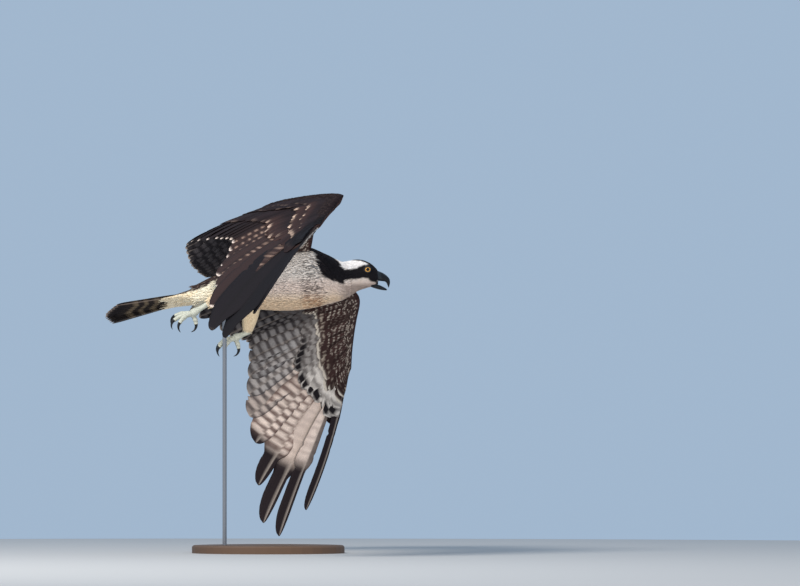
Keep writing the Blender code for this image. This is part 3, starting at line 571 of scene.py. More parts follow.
def under_remex_colour(place, share, beyond, across, chance):
    """Colour of the flight feathers from below: chequered, darker near the body as painted shade, pale on the
    hand.
    """
    bars = beyond / BAR_PITCH + 0.3 * chance
    spread = 0.9 * (0.4 - ((np.abs(across) - 0.5) / 0.5) ** 2)
    wave = np.sin((bars + np.where(across > 0, 0.45, 0.0)) * TURN - 0.6) + spread
    # Both square colours darken towards the body (low place): painted shade under the inner wing.
    light = coats(srgb(70, 66, 68), ((104, 100, 100), ramp(place, 0.36, 0.55)),
                  ((168, 164, 162), ramp(place, 0.57, 0.72)), ((240, 220, 206), ramp(place, 0.72, 0.82)))
    dark = coats(srgb(34, 31, 34), ((92, 86, 85), ramp(place, 0.55, 0.76)),
                 ((126, 104, 96), ramp(place, 0.76, 0.86)))
    checks = ramp(wave, -0.5, 0.5) * (0.8 + 0.2 * np.sin(np.floor(bars) * 12.9 + 78.2 * chance))
    checks = checks * (1 - 0.6 * ramp(np.abs(across), 0.7, 0.95))
    pale_base = ramp(place, 0.87, 0.92) * (0.62 + 0.25 * checks)
    out = mix(dark, light, np.maximum(checks, pale_base))
    out = mix(out, dark * 0.8, fall(beyond, 0.008, 0.013) * 0.55)
    start = DARK_STARTS(place)[..., 0]
    front = ramp(place, 0.9, 0.96) * ramp(across, 0.0, 0.3) * 0.8
    black = np.maximum(ramp(share, start - 0.05, start + 0.04), front)
    return coats(out, ((40, 33, 35), black),
                 ((206, 190, 176), fall(beyond, 0.0008, 0.003) * (1 - black) * 0.8),
                 ((196, 182, 170), fall(np.abs(across), 0.02, 0.09) * (0.25 + 0.3 * black)))


# Flight feathers

REMEX_ROWS, REMEX_COLUMNS, REMEX_START = 56, 9, 0.06
SPLITS, SPLIT_FROM, FINGER_SPLIT_END = 5, 18, 34
VANE_HALF, VANE_VAULT, SHAFT_HALF = 0.00025, 0.0007, 0.0007


def remex_profile(share):
    """Full width of a flight feather along its length, as a share."""
    root = 0.35 + 0.62 * ramp(share, 0.02, 0.4) + 0.03 * ramp(share, 0.4, 0.75)
    tip = np.sqrt(np.clip(1 - ((share - 0.84) / 0.16) ** 2, 0.003, 1.0))
    return np.where(share > 0.84, root * tip, root)


def remex_widths(wing, places, index, share):
    """Leading and trailing half widths along one flight feather."""
    place, folded = places[index], wing.side == "right"
    spacing = wing.frame(np.full_like(share, place), share)[2] * (1.0 if place > NODE_BORDER else 1.35)
    ahead = places[index + 1] - place if index + 1 < len(places) else place - places[index - 1]
    behind = place - places[index - 1] if index else places[1] - place
    lead = np.minimum(spacing * ahead * LEAD_SHARE, LEAD_MOST)
    trail = np.minimum(spacing * behind * TRAIL_SHARE, TRAIL_MOST)
    if place in FINGERS:
        start, broad_lead, broad_trail, thin_lead, thin_trail = (FOLDED_FINGERS if folded else FINGERS)[place]
        soft = 0.09 if folded else 0.04
        narrow = ramp(share, start - soft, start + soft)
        if folded:
            lead, trail = np.maximum(lead, broad_lead), np.maximum(trail, broad_trail)
        lead = np.minimum(lead, broad_lead) * (1 - narrow) + thin_lead * narrow
        trail = np.minimum(trail, broad_trail) * (1 - narrow) + thin_trail * narrow
    return lead, trail


def flight_feathers(wing):
    """All the flight feathers of one wing as overlapping vanes."""
    places = SECONDARY_PLACES + PRIMARY_PLACES
    share = REMEX_START + (1 - REMEX_START) * (1 - (1 - np.linspace(0, 1, REMEX_ROWS)) ** 1.15)
    across = np.linspace(-1, 1, REMEX_COLUMNS)
    parts = []
    for index, place in enumerate(places):
        lead, trail = remex_widths(wing, places, index, share)
        longer = 1.0 + RANDOM.uniform(-0.008, 0.008)
        splits = np.ones((REMEX_ROWS, 2))
        last = FINGER_SPLIT_END if place in FINGERS else REMEX_ROWS - 4
        for _ in range(SPLITS):
            splits[RANDOM.integers(SPLIT_FROM, last), RANDOM.integers(0, 2)] = RANDOM.uniform(0.78, 0.92)
        splits = splits * RANDOM.uniform(0.975, 1.0, (REMEX_ROWS, 2))
        lead, trail = lead * splits[:, 0], trail * splits[:, 1]
        aside = np.where(across > 0, lead[:, None], trail[:, None]) * across * remex_profile(share)[:, None]
        at = np.full(aside.shape, place)
        along = (share * longer)[:, None] + 0 * aside
        half = VANE_HALF + np.exp(-(across / 0.1) ** 2) * (1.2 - along) * SHAFT_HALF
        high = aside * (SHINGLE / max(np.median(lead + trail), 0.004) * 1.6) + VANE_VAULT * (1 - across ** 2)
        reach = wing.frame(at, along)[3]
        marks = (at, along, np.maximum(longer - along, 0.0) * reach, across + 0 * aside,
                 np.full(aside.shape, RANDOM.uniform()))
        parts.append((wing.world(wing.point(at, along, aside, high + half)),
                      wing.world(wing.point(at, along, aside, high - half)),
                      upper_remex_colour(*marks), under_remex_colour(*marks),
                      (index + 0.25 + 0.2 * across + 0 * aside) / len(places), 0.02 + 0.96 * along / longer,
                      along * reach + np.abs(aside) * 1.2))
    *values, lines = (np.array(part) for part in zip(*parts))
    dress_slabs("flight_feathers_" + wing.side, *values, VANE, *wing.fixed(), shift=(0.5 / len(places), 0.0),
                lines=lines)


# Coverts of the wings

COVERT_FACES = (0.00018, -0.00018)


def coverts(wing, face, name, roots, lift, colour, rows=5, columns=3):
    """Coverts over one side of a wing, given by place, distance back, length and width."""
    place, back, length, width = roots
    t = (1 - (1 - np.linspace(0, 1, rows)) ** 1.4)[:, None]
    profile = np.interp(t, [0, 0.3, 0.6, 0.82, 0.94, 1.0], [0.55, 0.95, 1.0, 0.84, 0.52, 0.08])
    across = np.linspace(-1, 1, columns)
    lead, reach = wing.lead(place)
    spacing = wing.frame(place, np.clip((back - lead) / reach, 0, 1))[2]
    wide = deep(width) / 2 * profile * across
    slant = deep(RANDOM.normal(0, 0.06, len(place)) * length) * t
    where = np.clip(deep(place) + (wide + slant) / deep(spacing), 0.0, 1.0)
    behind = deep(back) + deep(length) * t + 0 * wide
    high = lift[0] + (lift[1] - lift[0]) * t + deep(width) * 0.1 * (1 - across ** 2) * profile
    high = high + RANDOM.uniform(-0.0002, 0.0003, size=(len(place), 1, 1)) * t
    chance = RANDOM.uniform(size=(len(place), 1, 1))
    tints = colour(deep(place), (behind - deep(lead)) / deep(reach), t, across, chance)
    tints = np.broadcast_to(tints, where.shape + (3,))
    u = 0.02 + 0.96 * deep(place) + 0.0015 * across
    v = 0.02 + 0.9 * np.clip(deep(back) / 0.3, 0, 1) + 0.003 * t
    if columns == 3:
        dress_leaves(name, wing.world(wing.cover(where, behind, face, high)), tints, u, v, *wing.fixed())
        return
    upper, lower = (wing.world(wing.cover(where, behind, face, high + half)) for half in COVERT_FACES)
    dress_slabs(name, upper, lower, tints, tints, u, v, VANE, *wing.fixed(),
                lines=deep(length) * t + np.abs(wide) * 1.2)


def covert_rows(wing):
    """Where the small coverts of one side of a wing are rooted and their sizes, from the front back."""
    rows = []
    steps, count = 20, 96
    for step in range(steps):
        place = np.linspace(0.005, 0.998, count) + (0.5 if step % 2 else 0.0) / count
        place = np.clip(place + RANDOM.uniform(-0.003, 0.003, count), 0.0, 1.0)
        lead, reach = wing.lead(place)
        chord = lead + reach * np.interp(place, [0, 0.6, 0.84, 1.0], [0.22, 0.22, 0.16, 0.08])
        back = chord * 0.93 * step / steps + RANDOM.uniform(-0.0006, 0.0006, count)
        length = np.clip(chord * 0.16, 0.009, 0.022)
        spacing = wing.frame(place, np.clip((back - lead) / reach, 0, 1))[2]
        width = np.clip(spacing / count * 2.2, 0.0034, 0.01)
        rows.append((place, np.maximum(back, 0.0), length, width))
    return [np.concatenate(column) for column in zip(*rows)]


# Tiers of long coverts: how many, where they end by place, how far they start before that, and their lift
TIERS = {
    1: [(56, [(0.0, 0.52), (0.8, 0.5), (0.87, 0.38), (0.93, 0.3), (1.0, 0.23)], 0.34, (-0.001, 0.0026)),
        (64, [(0.0, 0.4), (0.6, 0.39), (0.84, 0.3), (1.0, 0.17)], 0.26, (-0.0008, 0.0034)),
        (72, [(0.0, 0.3), (0.6, 0.28), (0.84, 0.22), (1.0, 0.11)], 0.2, (-0.0006, 0.003))],
    -1: [(48, [(0.0, 0.5), (0.66, 0.51), (0.82, 0.5), (0.87, 0.395), (0.93, 0.3), (1.0, 0.235)], 0.34,
          (-0.001, 0.0026)),
         (60, [(0.0, 0.37), (0.6, 0.375), (0.73, 0.335), (0.84, 0.285), (1.0, 0.15)], 0.26,
          (-0.0008, 0.0034)),
         (72, [(0.0, 0.28), (0.6, 0.28), (0.84, 0.2), (1.0, 0.1)], 0.2, (-0.0006, 0.003))],
}
TIER_COLOURS = {1: (upper_covert_colour,) * 3,
                -1: (greater_under_colour, middle_under_colour, spotted_under_colour)}


def long_coverts(wing, count, ends, run):
    """Where a tier of long coverts is rooted and how long it is, by shares of the flight feathers."""
    place = np.linspace(0.01, 0.995, count)
    lead, reach = wing.lead(place)
    end = Curve(ends)(place)[:, 0]
    start = np.maximum(end - run, 0.02)
    length = (end - start) * reach * RANDOM.uniform(0.95, 1.05, count)
    spacing = wing.frame(place, end)[2]
    return place, lead + start * reach, length, np.clip(spacing / count * 2.3, 0.0045, 0.02)


def wing_skin(wing):
    """The fleshy front of the wing under its feathers."""
    chord = np.linspace(0.0, 1.0, 14)
    place = np.linspace(0.0, 1.0, 70)[:, None] + 0 * chord
    lead, reach = wing.lead(place)
    back = (lead + reach * 0.3) * chord
    upper, lower = (wing.world(wing.cover(place, back, face, SKIN_DEPTH))[None] for face in (1, -1))
    brown = np.broadcast_to(srgb(66, 46, 42) * 0.5, upper.shape)
    dress_slabs("wing_skin_" + wing.side, upper, lower, brown, brown, 0.02 + 0.96 * place[None],
                0.02 + 0.45 * chord, SKIN, *wing.fixed(), shift=(0.0, 0.5))


def dress_wing(side):
    """Skin, flight feathers and coverts of one wing, in place of its solids."""
    wing = Wing(side)
    wing_skin(wing)
    flight_feathers(wing)
    for face, label, colour in ((1, "upper", upper_covert_colour), (-1, "under", under_covert_colour)):
        where = "%s_%s" % (label, side)
        coverts(wing, face, "coverts_" + where, covert_rows(wing), (SKIN_DEPTH, 0.001), colour)
        for tier, (count, ends, run, lift) in enumerate(TIERS[face]):
            coverts(wing, face, "tier_%d_%s" % (tier + 1, where), long_coverts(wing, count, ends, run), lift,
                    TIER_COLOURS[face][tier], rows=16, columns=7)


# Body: stations along it, its skin and its feathers

def body_stations():
    """Distance along, centre, side, top, half width and half height through the whole body."""
    rows = np.array([(*place((ahead, 0, rise)), *axes[:, 1], *axes[:, 2], wide, high)
                     for place, axes, table in ((bird, BIRD, TRUNK), (skull, SKULL, HEAD))
                     for ahead, rise, wide, high in table])
    return np.column_stack((travel(rows[:, :3]), rows))


STATIONS = Curve(body_stations())
BODY_END, TRUNK_END = STATIONS.spots[-1], STATIONS.spots[len(TRUNK) - 1]
VIEW_STEP, VIEW_ACROSS, VIEW_DOWN = 0.0019, 313.0, 262.0


def body_point(place, angle, grow):
    """Points of the body at a place along it and an angle round it, from its left side over its top."""
    values = STATIONS(place)
    across, up = np.cos(angle), np.sin(angle)
    power = 2 / SQUARENESS
    wide = values[..., 9] + grow
    high = values[..., 10] + grow
    return (values[..., 0:3]
            + unit(values[..., 3:6]) * (wide * np.sign(across) * np.abs(across) ** power)[..., None]
            + unit(values[..., 6:9]) * (high * np.sign(up) * np.abs(up) ** power)[..., None])


def side_view(points):
    """Points of either side as seen from the right, in steps of 1.9 mm: back to front, top to bottom."""
    offset = points - CENTRE
    mirrored = offset - 2 * np.maximum(offset @ BIRD[:, 1], 0.0)[..., None] * BIRD[:, 1]
    return VIEW_ACROSS + mirrored[..., 0] / VIEW_STEP, VIEW_DOWN - mirrored[..., 2] / VIEW_STEP


def inside(x, y, outline, soft):
    """Soft 0 to 1 of how far points lie inside a closed outline."""
    corners = np.array(outline, dtype=float)
    nearest = np.full(x.shape, 1e9)
    crossed = np.zeros(x.shape, dtype=bool)
    for (ax, ay), (bx, by) in zip(corners, np.roll(corners, -1, axis=0)):
        dx, dy = bx - ax, by - ay
        t = np.clip(((x - ax) * dx + (y - ay) * dy) / (dx * dx + dy * dy), 0, 1)
        nearest = np.minimum(nearest, np.hypot(x - ax - t * dx, y - ay - t * dy))
        if ay != by:
            hit = (ay > y) != (by > y)
            crossed ^= hit & (x < (bx - ax) * (y - ay) / (by - ay) + ax)
    signed = np.where(crossed, nearest, -nearest)
    return np.clip(0.5 + signed / (2 * soft), 0, 1)


# Dark marks of the head and neck in side view
EYE_STRIPE = [(381, 271), (377, 266.5), (371, 263.8), (366.3, 265.5), (359.3, 266.8), (354.8, 268.3),
              (351, 268.9), (347.2, 268.3), (344, 266.4), (341.5, 262.5), (337.6, 259.5), (330, 250),
              (312, 240), (300, 240), (300, 252), (316.9, 253), (319, 256.8), (321, 260.6), (321.5, 265.7),
              (323.6, 268.3), (325.5, 274), (327.4, 277.8), (330, 280.4), (334.4, 283), (344, 283.6),
              (346.9, 282.3), (347.2, 279.4), (351, 278.5), (357.4, 278.2), (363.8, 277.8), (368.9, 278.5),
              (371, 281), (378, 283), (381, 280)]


CROWN_LINE = [(352.5, 258.0), (353.0, 260.4), (361.2, 261.0), (367.5, 263.6), (372.0, 267.0),
              (381.0, 273.0), (382.0, 268.0), (372.0, 259.0), (361.0, 256.0)]
NAPE_LINE = [(312, 238), (312, 252), (330, 258.6), (336.5, 259.8), (345.5, 261.6), (349, 259.8),
             (340, 255), (325, 246)]


def body_colour(points, along, across, chance):
    """Colour of the body's feathers by where they grow, with painted shade on the throat and cheek and partly
    painted light under the tail.
    """
    x, y = side_view(points)
    rise, ahead = ((points - CENTRE) @ BIRD[:, axis] for axis in (2, 0))
    wobble, fine = noise(points, 60.0, 1), noise(points, 170.0, 2)
    white = coats(srgb(238, 230, 222), ((234, 206, 174), ramp(y, 284, 303)),
                  ((226, 200, 186), ramp(y, 272, 286) * fall(y, 288, 300) * 0.6),
                  # Brighter cream towards the tail: partly the undertail feathers' own pale colour, partly
                  # painted light where they catch the light.
                  ((254, 244, 218), ramp(-ahead, 0.1, 0.17)),
                  # Grey-beige over the throat and cheek: painted shade under the head.
                  ((172, 155, 146), ramp(x, 338, 350) * ramp(y, 281.5, 286) * 0.9),
                  ((250, 247, 246), ramp(x, 330, 340) * fall(y, 268, 271)))
    lower = 0.024 * ramp(-ahead, 0.09, 0.2)
    back = ramp(rise + lower + 0.004 * wobble, -0.006, 0.002) * fall(ahead, 0.02, 0.045)
    tips = ramp(along, 0.8, 0.95) * np.clip(1.3 * chance - 0.2, 0, 1)
    dark = coats(srgb(54, 42, 42), ((170, 146, 126), tips))
    out = mix(white * (0.92 + 0.12 * chance)[..., None], dark, back)
    stripe = inside(x + 0.7 * wobble + 0.6 * (chance - 0.5), y + 0.4 * wobble, EYE_STRIPE, 0.8)
    stripe = np.maximum(stripe, inside(x, y + 0.3 * wobble, CROWN_LINE, 0.6))
    stripe = np.maximum(stripe, inside(x, y, NAPE_LINE, 0.7))
    out = coats(out, ((190, 172, 156), ramp(fine, 0.55, 0.9) * 0.25 * (1 - back)), ((30, 28, 31), stripe))
    zone = ramp(x, 303, 309) * fall(x, 322, 332) * ramp(y, 254, 262)
    mark = np.where(chance > 0.72 - 0.22 * ramp(y, 284, 296), 1.0, 0.0) * fall(np.abs(across), 0.3, 0.8)
    mark = np.maximum(mark, ramp(fine, 0.4, 0.7) * 0.85 * fall(y, 288, 296))
    band = mix(srgb(52, 42, 42), srgb(132, 88, 62), ramp(y, 290, 298))
    out = mix(out, band, zone * mark * ramp(along, 0.2, 0.5))
    return coats(out, ((204, 150, 108), zone * ramp(y, 291, 299) * 0.3 * ramp(fine, -0.3, 0.5)))


COAT = ("white_feathers", "torso", "neck", "head")
FACE_CUT, DOME = 0.0045, 0.004


def body_skin():
    """One skin for trunk, neck and head, inside the feathers, rounded off behind the bill."""
    angle = np.linspace(0, TURN, 96, endpoint=False)
    place = np.linspace(0.0, BODY_END - FACE_CUT, 170)[:, None] + 0 * angle
    rings = body_point(place, angle + 0 * place, 0.002 * ramp(place, TRUNK_END, BODY_END - 0.03) - 0.003)
    middle = rings[-1].mean(axis=0)
    dome = [middle + (rings[-1] - middle) * math.sqrt(1 - part * part) + SKULL[:, 0] * DOME * part
            for part in (0.35, 0.65, 0.85, 0.97)]
    mesh = closed_tube(np.concatenate((rings, dome)))
    # The skin takes the feathers' colours darkened by 0.85, as painted shade where it shows between them.
    tints = body_colour(mesh[0], np.array(0.5), np.array(1.0), np.array(0.4)) * 0.85
    dress("body_skin", mesh, tints, SKIN, *COAT)


def tufts(name, place, angle, length, width, lift):
    """Small feathers over the body, lying back towards the tail."""
    t, profile = np.array([[0.0, 0.4, 0.78, 1.0], [0.8, 1.0, 0.6, 0.05]])[..., None]
    across = np.array([-1.0, 0.0, 1.0])
    values = STATIONS(place)
    radius = (values[:, 9] + values[:, 10]) / 2
    at = deep(place) - deep(length) * t + 0 * across
    turn = deep(angle) + deep(width) / 2 * profile * across / deep(radius)
    turn = turn + deep(RANDOM.normal(0, 0.13, len(place)) * length / radius) * t
    vault = deep(width) * 0.07 * (1 - across ** 2) * profile + 0.00015
    high = lift[0] + (lift[1] - lift[0]) * t + vault
    high = high + RANDOM.uniform(-0.0003, 0.0002, size=(len(place), 1, 1)) * t
    grid = body_point(np.maximum(at, 0.0), turn, high) + np.minimum(at, 0.0)[..., None] * BIRD[:, 0]
    chance = RANDOM.uniform(size=(len(place), 1, 1))
    tints = body_colour(grid[:, :1, 1:2] * 0.5 + grid * 0.5, t, across, chance)
    dress_leaves(name, grid, tints, 0.02 + 0.96 * deep(place) / BODY_END + 0.003 * t,
                 0.02 + 0.96 * deep(angle % TURN) / TURN + 0.0015 * across, *COAT)


def scatter(start, end, step, around):
    """Even, slightly jittered places and angles over a length of the body."""
    places, angles = [], []
    for row, place in enumerate(np.arange(start, end, step)):
        values = STATIONS(np.array(place))
        girth = TURN * (values[9] + values[10]) / 2
        count = max(int(girth / around), 8)
        angle = (np.arange(count) + 0.5 * (row % 2)) / count * TURN
        places.append(place + RANDOM.uniform(-0.3, 0.3, count) * step)
        angles.append(angle + RANDOM.uniform(-0.25, 0.25, count) / count * TURN)
    return np.concatenate(places), np.concatenate(angles)


def off_the_eyes(place, angle, length):
    """Which feathers stay clear of the eyes."""
    clear = np.ones(len(place), dtype=bool)
    for side in (-1, 1):
        eye = skull((EYE_AHEAD, side * (EYE_OUT + 0.006), EYE_RISE))
        for share in (0.0, 0.5, 1.0):
            spot = body_point(place - length * share, angle, np.zeros(len(place)))
            clear &= np.linalg.norm(spot - eye, axis=-1) > 0.007
    return clear


# Pieces of the coat: name, start, end, row step, spacing round, length, width, lift at root and tip
REGIONS = (
    ("trunk_feathers", 0.006, TRUNK_END + 0.012, 0.0035, 0.0036, 0.0195, 0.0056, (-0.0024, -0.0004)),
    ("neck_feathers", TRUNK_END + 0.006, BODY_END - 0.046, 0.0025, 0.0024, 0.013, 0.0036, (-0.0022, -0.0003)),
    ("face_feathers", BODY_END - 0.048, BODY_END - 0.0006, 0.0013, 0.0015, 0.0056, 0.0022, (-0.0013, 0.0)),
)


def dress_body():
    """Skin and feathers of the trunk, neck and head."""
    body_skin()
    for name, start, end, step, around, length, width, lift in REGIONS:
        place, angle = scatter(start, end, step, around)
        far = ramp(place, BODY_END - 0.045, BODY_END - 0.006)
        lengths = length * (1 - 0.45 * far) * RANDOM.uniform(0.85, 1.15, len(place))
        clear = off_the_eyes(place, angle, lengths)
        tufts(name, place[clear], angle[clear], lengths[clear], width * (1 - 0.25 * far[clear]), lift)


# Eyes and bill

IRIS_RADIUS, PUPIL_RADIUS = 0.0055, 0.0032
LID_RADIUS, LID_THICKNESS, LID_OUT = 0.0061, 0.0013, 0.0062


def dress_eye(side):
    """Eyeball with iris and pupil, and the lids round it."""
    name = "left" if side > 0 else "right"
    out = unit(SKULL @ np.array((0.16, side, -0.02)))
    ahead = unit(SKULL[:, 0] - out * (SKULL[:, 0] @ out))
    up = np.cross(ahead, out) * side
    centre = skull((EYE_AHEAD, side * EYE_OUT, EYE_RISE))
    polar = np.linspace(0.02, math.pi - 0.02, 60)[:, None, None]
    turn = np.linspace(0, TURN, 48, endpoint=False)[:, None]
    mesh = closed_tube(centre + EYE_RADIUS * (out * np.cos(polar) + np.sin(polar) * (
        ahead * np.cos(turn) + up * np.sin(turn))))
    from_centre = mesh[0] - centre
    off = np.linalg.norm(np.cross(from_centre, out), axis=-1)
    rays = 0.5 + 0.5 * noise(mesh[0], 900.0, 3)
    rim = np.where(from_centre @ out > 0, ramp(off, IRIS_RADIUS - 0.0004, IRIS_RADIUS), 1.0)
    tints = coats(srgb(206, 158, 76), ((154, 106, 48), rays * 0.6 + 0.4 * ramp(off, 0.004, 0.0054)),
                  ((8, 8, 9), fall(off, PUPIL_RADIUS - 0.0002, PUPIL_RADIUS + 0.0002)), ((14, 12, 12), rim))
    dress("eyeball_" + name, mesh, tints, EYE, "yellow_eye", "eye_" + name)
    turn = np.linspace(0, TURN, 72, endpoint=False)[:, None, None]
    tube = np.linspace(0, TURN, 16, endpoint=False)[:, None]
    brow = np.clip(np.sin(turn), 0, 1)
    thick = LID_THICKNESS * (1 + 0.35 * brow)
    rings = (centre + out * (LID_OUT + 0.0007 * brow - 0.0012 * np.cos(turn) ** 2 + thick * np.sin(tube))
             + (ahead * np.cos(turn) + up * np.sin(turn) * 0.93) * (LID_RADIUS + thick * np.cos(tube)))
    dress("lids_" + name, hoop(rings), srgb(30, 32, 36), SCALES, "white_feathers", "head")


def dress_bill(name, table, upper):
    """One half of the bill with its cere, ridge and nostril."""
    keys = np.array(table)
    travelled = travel(keys[:, :2])
    along = np.linspace(0, travelled[-1], 90)
    values = Curve(np.column_stack((travelled, keys)))(along)
    blunt = np.sqrt(np.clip(1 - np.clip((along / travelled[-1] - 0.94) / 0.062, 0, 1) ** 2, 0, 1))
    angle = np.linspace(0, TURN, 40, endpoint=False)
    across, rise = np.cos(angle), np.sin(angle)
    keel = 1 - (0.2 if upper else 0.08) * np.clip(rise if upper else -rise, 0, 1) ** 3
    top, low = (np.stack([values[:, first], 0 * along, values[:, first + 1]], axis=1) for first in (0, 2))
    middle, half = (top + low) / 2, (top - low) / 2 * blunt[:, None]
    local = middle[:, None] + half[:, None] * (np.sign(rise) * np.abs(rise) ** 0.95)[None, :, None]
    local[..., 1] += values[:, 4][:, None] * np.sign(across) * np.abs(across) ** 0.95 * keel * blunt[:, None]
    cere = fall(local[..., 0] + 0.25 * local[..., 2], 0.0405, 0.0425)
    local[..., 1] *= 1 + 0.05 * cere
    off = ((local[..., 0] - 0.0398) / 0.0017) ** 2 + ((local[..., 2] - 0.001) / 0.0008) ** 2
    hole = np.exp(-off) * upper
    local[..., 1] -= np.sign(local[..., 1]) * 0.0011 * hole
    # The nostril is painted a little darker than the horn: painted shade in its hollow.
    shade = coats(srgb(10, 10, 12), ((30, 34, 38), cere * (0.8 if upper else 0.3)), ((6, 6, 8), hole))
    tints = np.concatenate((shade.reshape(-1, 3), shade[0, :1], shade[-1, :1]))
    dress(name + "_horn", closed_tube(skull(local)), tints, HORN, "black_horn", name)


# Tail

TAIL_AXES = BIRD @ attitude(TAIL_TURN, TAIL_DROP, TAIL_ROLL)


def tail_point(back, aside, above):
    """Points of the tail: back from its root, to the left and up."""
    root = bird((TAIL_ROOT[0], 0, TAIL_ROOT[1]))
    return (root - TAIL_AXES[:, 0] * back[..., None] + TAIL_AXES[:, 1] * aside[..., None]
            + TAIL_AXES[:, 2] * above[..., None])


def tail_colour(run, across):
    """Colour of the tail's feathers: dusky bars, a dark end and a pale rim."""
    bars = ramp(np.sin(run * TURN * 8.0 + 0.6), 0.0, 0.5) * fall(run, 0.84, 0.88)
    return coats(srgb(40, 34, 33), ((112, 98, 80), bars * 0.9 * (0.45 + 0.55 * ramp(-across, -0.6, 0.6))),
                 ((30, 26, 28), ramp(run, 0.86, 0.9)), ((206, 190, 180), ramp(run, 0.975, 0.99) * 0.8),
                 ((198, 176, 160), fall(np.abs(across), 0.02, 0.12) * 0.4))


def tail_feathers():
    """The closed fan of the tail as overlapping vanes."""
    share = np.linspace(0.02, 1.0, 44)[:, None]
    across = np.linspace(-1, 1, 9)
    half = TAIL_HALF_ROOT + (TAIL_HALF_END - TAIL_HALF_ROOT) * share
    width = 0.3 + 0.7 * ramp(share, 0.0, 0.45)
    width = width * np.where(share > 0.86, np.sqrt(np.clip(1 - ((share - 0.86) / 0.14) ** 2, 0.01, 1)), 1.0)
    rachis = VANE_HALF + np.exp(-(across / 0.12) ** 2) * (1.2 - share) * 0.0006
    run = share + 0 * across
    shade = tail_colour(run, across + 0 * share)
    parts = []
    for index in range(TAIL_FEATHERS):
        spot = (2 * index + 1 - TAIL_FEATHERS) / (TAIL_FEATHERS - 1)
        side = 1 if spot > 0 else -1
        taper = 0.05 * spot * spot + TAIL_NEAR_TAPER * max(-spot, 0.0) ** 1.3
        length = TAIL_LENGTH * (1 - taper) * (1 + RANDOM.uniform(-0.006, 0.006))
        central = abs(spot) < 1.5 / (TAIL_FEATHERS - 1)
        inner = np.abs(spot * half) / width if central else TAIL_INNER_WEB
        web = np.where(across > 0, TAIL_OUTER_WEB, inner) * across * width
        high = SHINGLE * web / (2 * half / (TAIL_FEATHERS - 1)) + 0.0005 * (1 - across ** 2)
        back = 0.004 + length * share + 0 * web
        grids = [tail_point(back, spot * half + side * web, high + face * rachis) for face in (-side, side)]
        parts.append((*grids, shade, shade, (index + 0.25 + 0.2 * across + 0 * web) / TAIL_FEATHERS,
                      0.02 + 0.96 * run, back + np.abs(web) * 1.2))
    *values, lines = (np.array(part) for part in zip(*parts))
    dress_slabs("tail_feathers", *values, VANE, "brown_feathers", "tail", shift=(0.5 / TAIL_FEATHERS, 0.0),
                lines=lines)


def tail_coverts():
    """Feathers that cover the roots of the tail above and below."""
    t, profile = np.array([[0.0, 0.3, 0.6, 0.82, 0.94, 1.0], [0.6, 0.95, 1.0, 0.8, 0.45, 0.06]])[..., None]
    across, count = np.array([-1.0, 0.0, 1.0]), 52
    start, angle, length = [], [], []
    for row, back in enumerate(np.arange(-0.034, 0.046, 0.0026)):
        angles = (np.arange(count) + 0.5 * (row % 2) + RANDOM.uniform(-0.3, 0.3, count)) / count * TURN
        start.append(back + RANDOM.uniform(-0.0015, 0.0015, count))
        angle.append(angles)
        length.append((0.026 + 0.016 * (0.5 - 0.5 * np.sin(angles))) * RANDOM.uniform(0.85, 1.15, count))
    start, angle, length = np.concatenate(start), np.concatenate(angle), np.concatenate(length)
    core = Curve([(-0.036, 0.0265, 0.024), (-0.012, 0.0245, 0.0205), (0.012, 0.0225, 0.015),
                  (0.04, 0.0235, 0.0085), (0.065, 0.024, 0.0042), (0.11, 0.029, 0.0022)])
    back = deep(start) + deep(length) * t + 0 * across
    slant = deep(RANDOM.normal(0, 0.12, len(start))) * t
    turn = deep(angle) + slant + 0.003 * profile * across / 0.02
    lift = -0.0024 + 0.003 * t + 0.0006 * (1 - across ** 2) * profile
    lift = lift + RANDOM.uniform(-0.0004, 0.0004, (len(start), 1, 1)) * t
    wide, high = np.moveaxis(core(back), -1, 0) + lift
    grid = tail_point(back, wide * np.cos(turn), high * np.sin(turn))
    chance = RANDOM.uniform(size=(len(start), 1, 1))
    dark = mix(srgb(52, 41, 40), srgb(160, 136, 116), ramp(t, 0.85, 0.97) * np.clip(1.3 * chance - 0.3, 0, 1))
    pale = mix(srgb(238, 216, 180), srgb(252, 242, 216), chance)
    tints = mix(pale, dark, deep(ramp(np.sin(angle), 0.05, 0.25)))
    dress_leaves("tail_coverts", grid, tints, 0.05 + 0.9 * (deep(start) + 0.035) / 0.085 + 0.003 * t,
                 0.02 + 0.96 * deep(angle % TURN) / TURN + 0.0015 * across, "brown_feathers", "tail")


# Legs

THIGH_RADII = np.array((0.02, 0.0185, 0.015, 0.0115, 0.0075))
THIGH_RINGS, THIGH_ROUND, TUFT_RINGS, HEM_RING = 400, 136, 60, 330
SCUTE, TOE_STEPS, CLAW_STEPS, CLAW_BEND = 0.0017, 5, 8, 95.0


def tube_rings(path, radii, side, rows, columns, bumps=None):
    """Rings of a smooth round limb through points, with its radii, bending across its side direction."""
    travelled = travel(path)
    curve = Curve(np.column_stack((travelled, path, radii)))
    at = np.linspace(0, travelled[-1], rows)
    values, step = curve(at), travelled[-1] * 0.01
    along = unit(curve(np.minimum(at + step, travelled[-1]))[:, :3] - curve(np.maximum(at - step, 0))[:, :3])
    across = unit(side - along * (along @ side)[:, None])
    top = np.cross(across, along)
    angle = np.linspace(0, TURN, columns, endpoint=False)
    radius = values[:, 3][:, None] + (bumps(at[:, None], angle) if bumps else 0 * angle)
    return (values[:, None, :3] + across[:, None] * (radius * np.cos(angle))[..., None]
            + top[:, None] * (radius * np.sin(angle))[..., None])


def scutes(at, angle):
    """Small rings of raised scales along a toe."""
    ring = np.abs(np.sin(at / SCUTE * math.pi))
    knobs = np.sin(angle * 5 + np.floor(at / SCUTE) * 2.1)
    return 0.00028 * ring + 0.00016 * knobs * ring


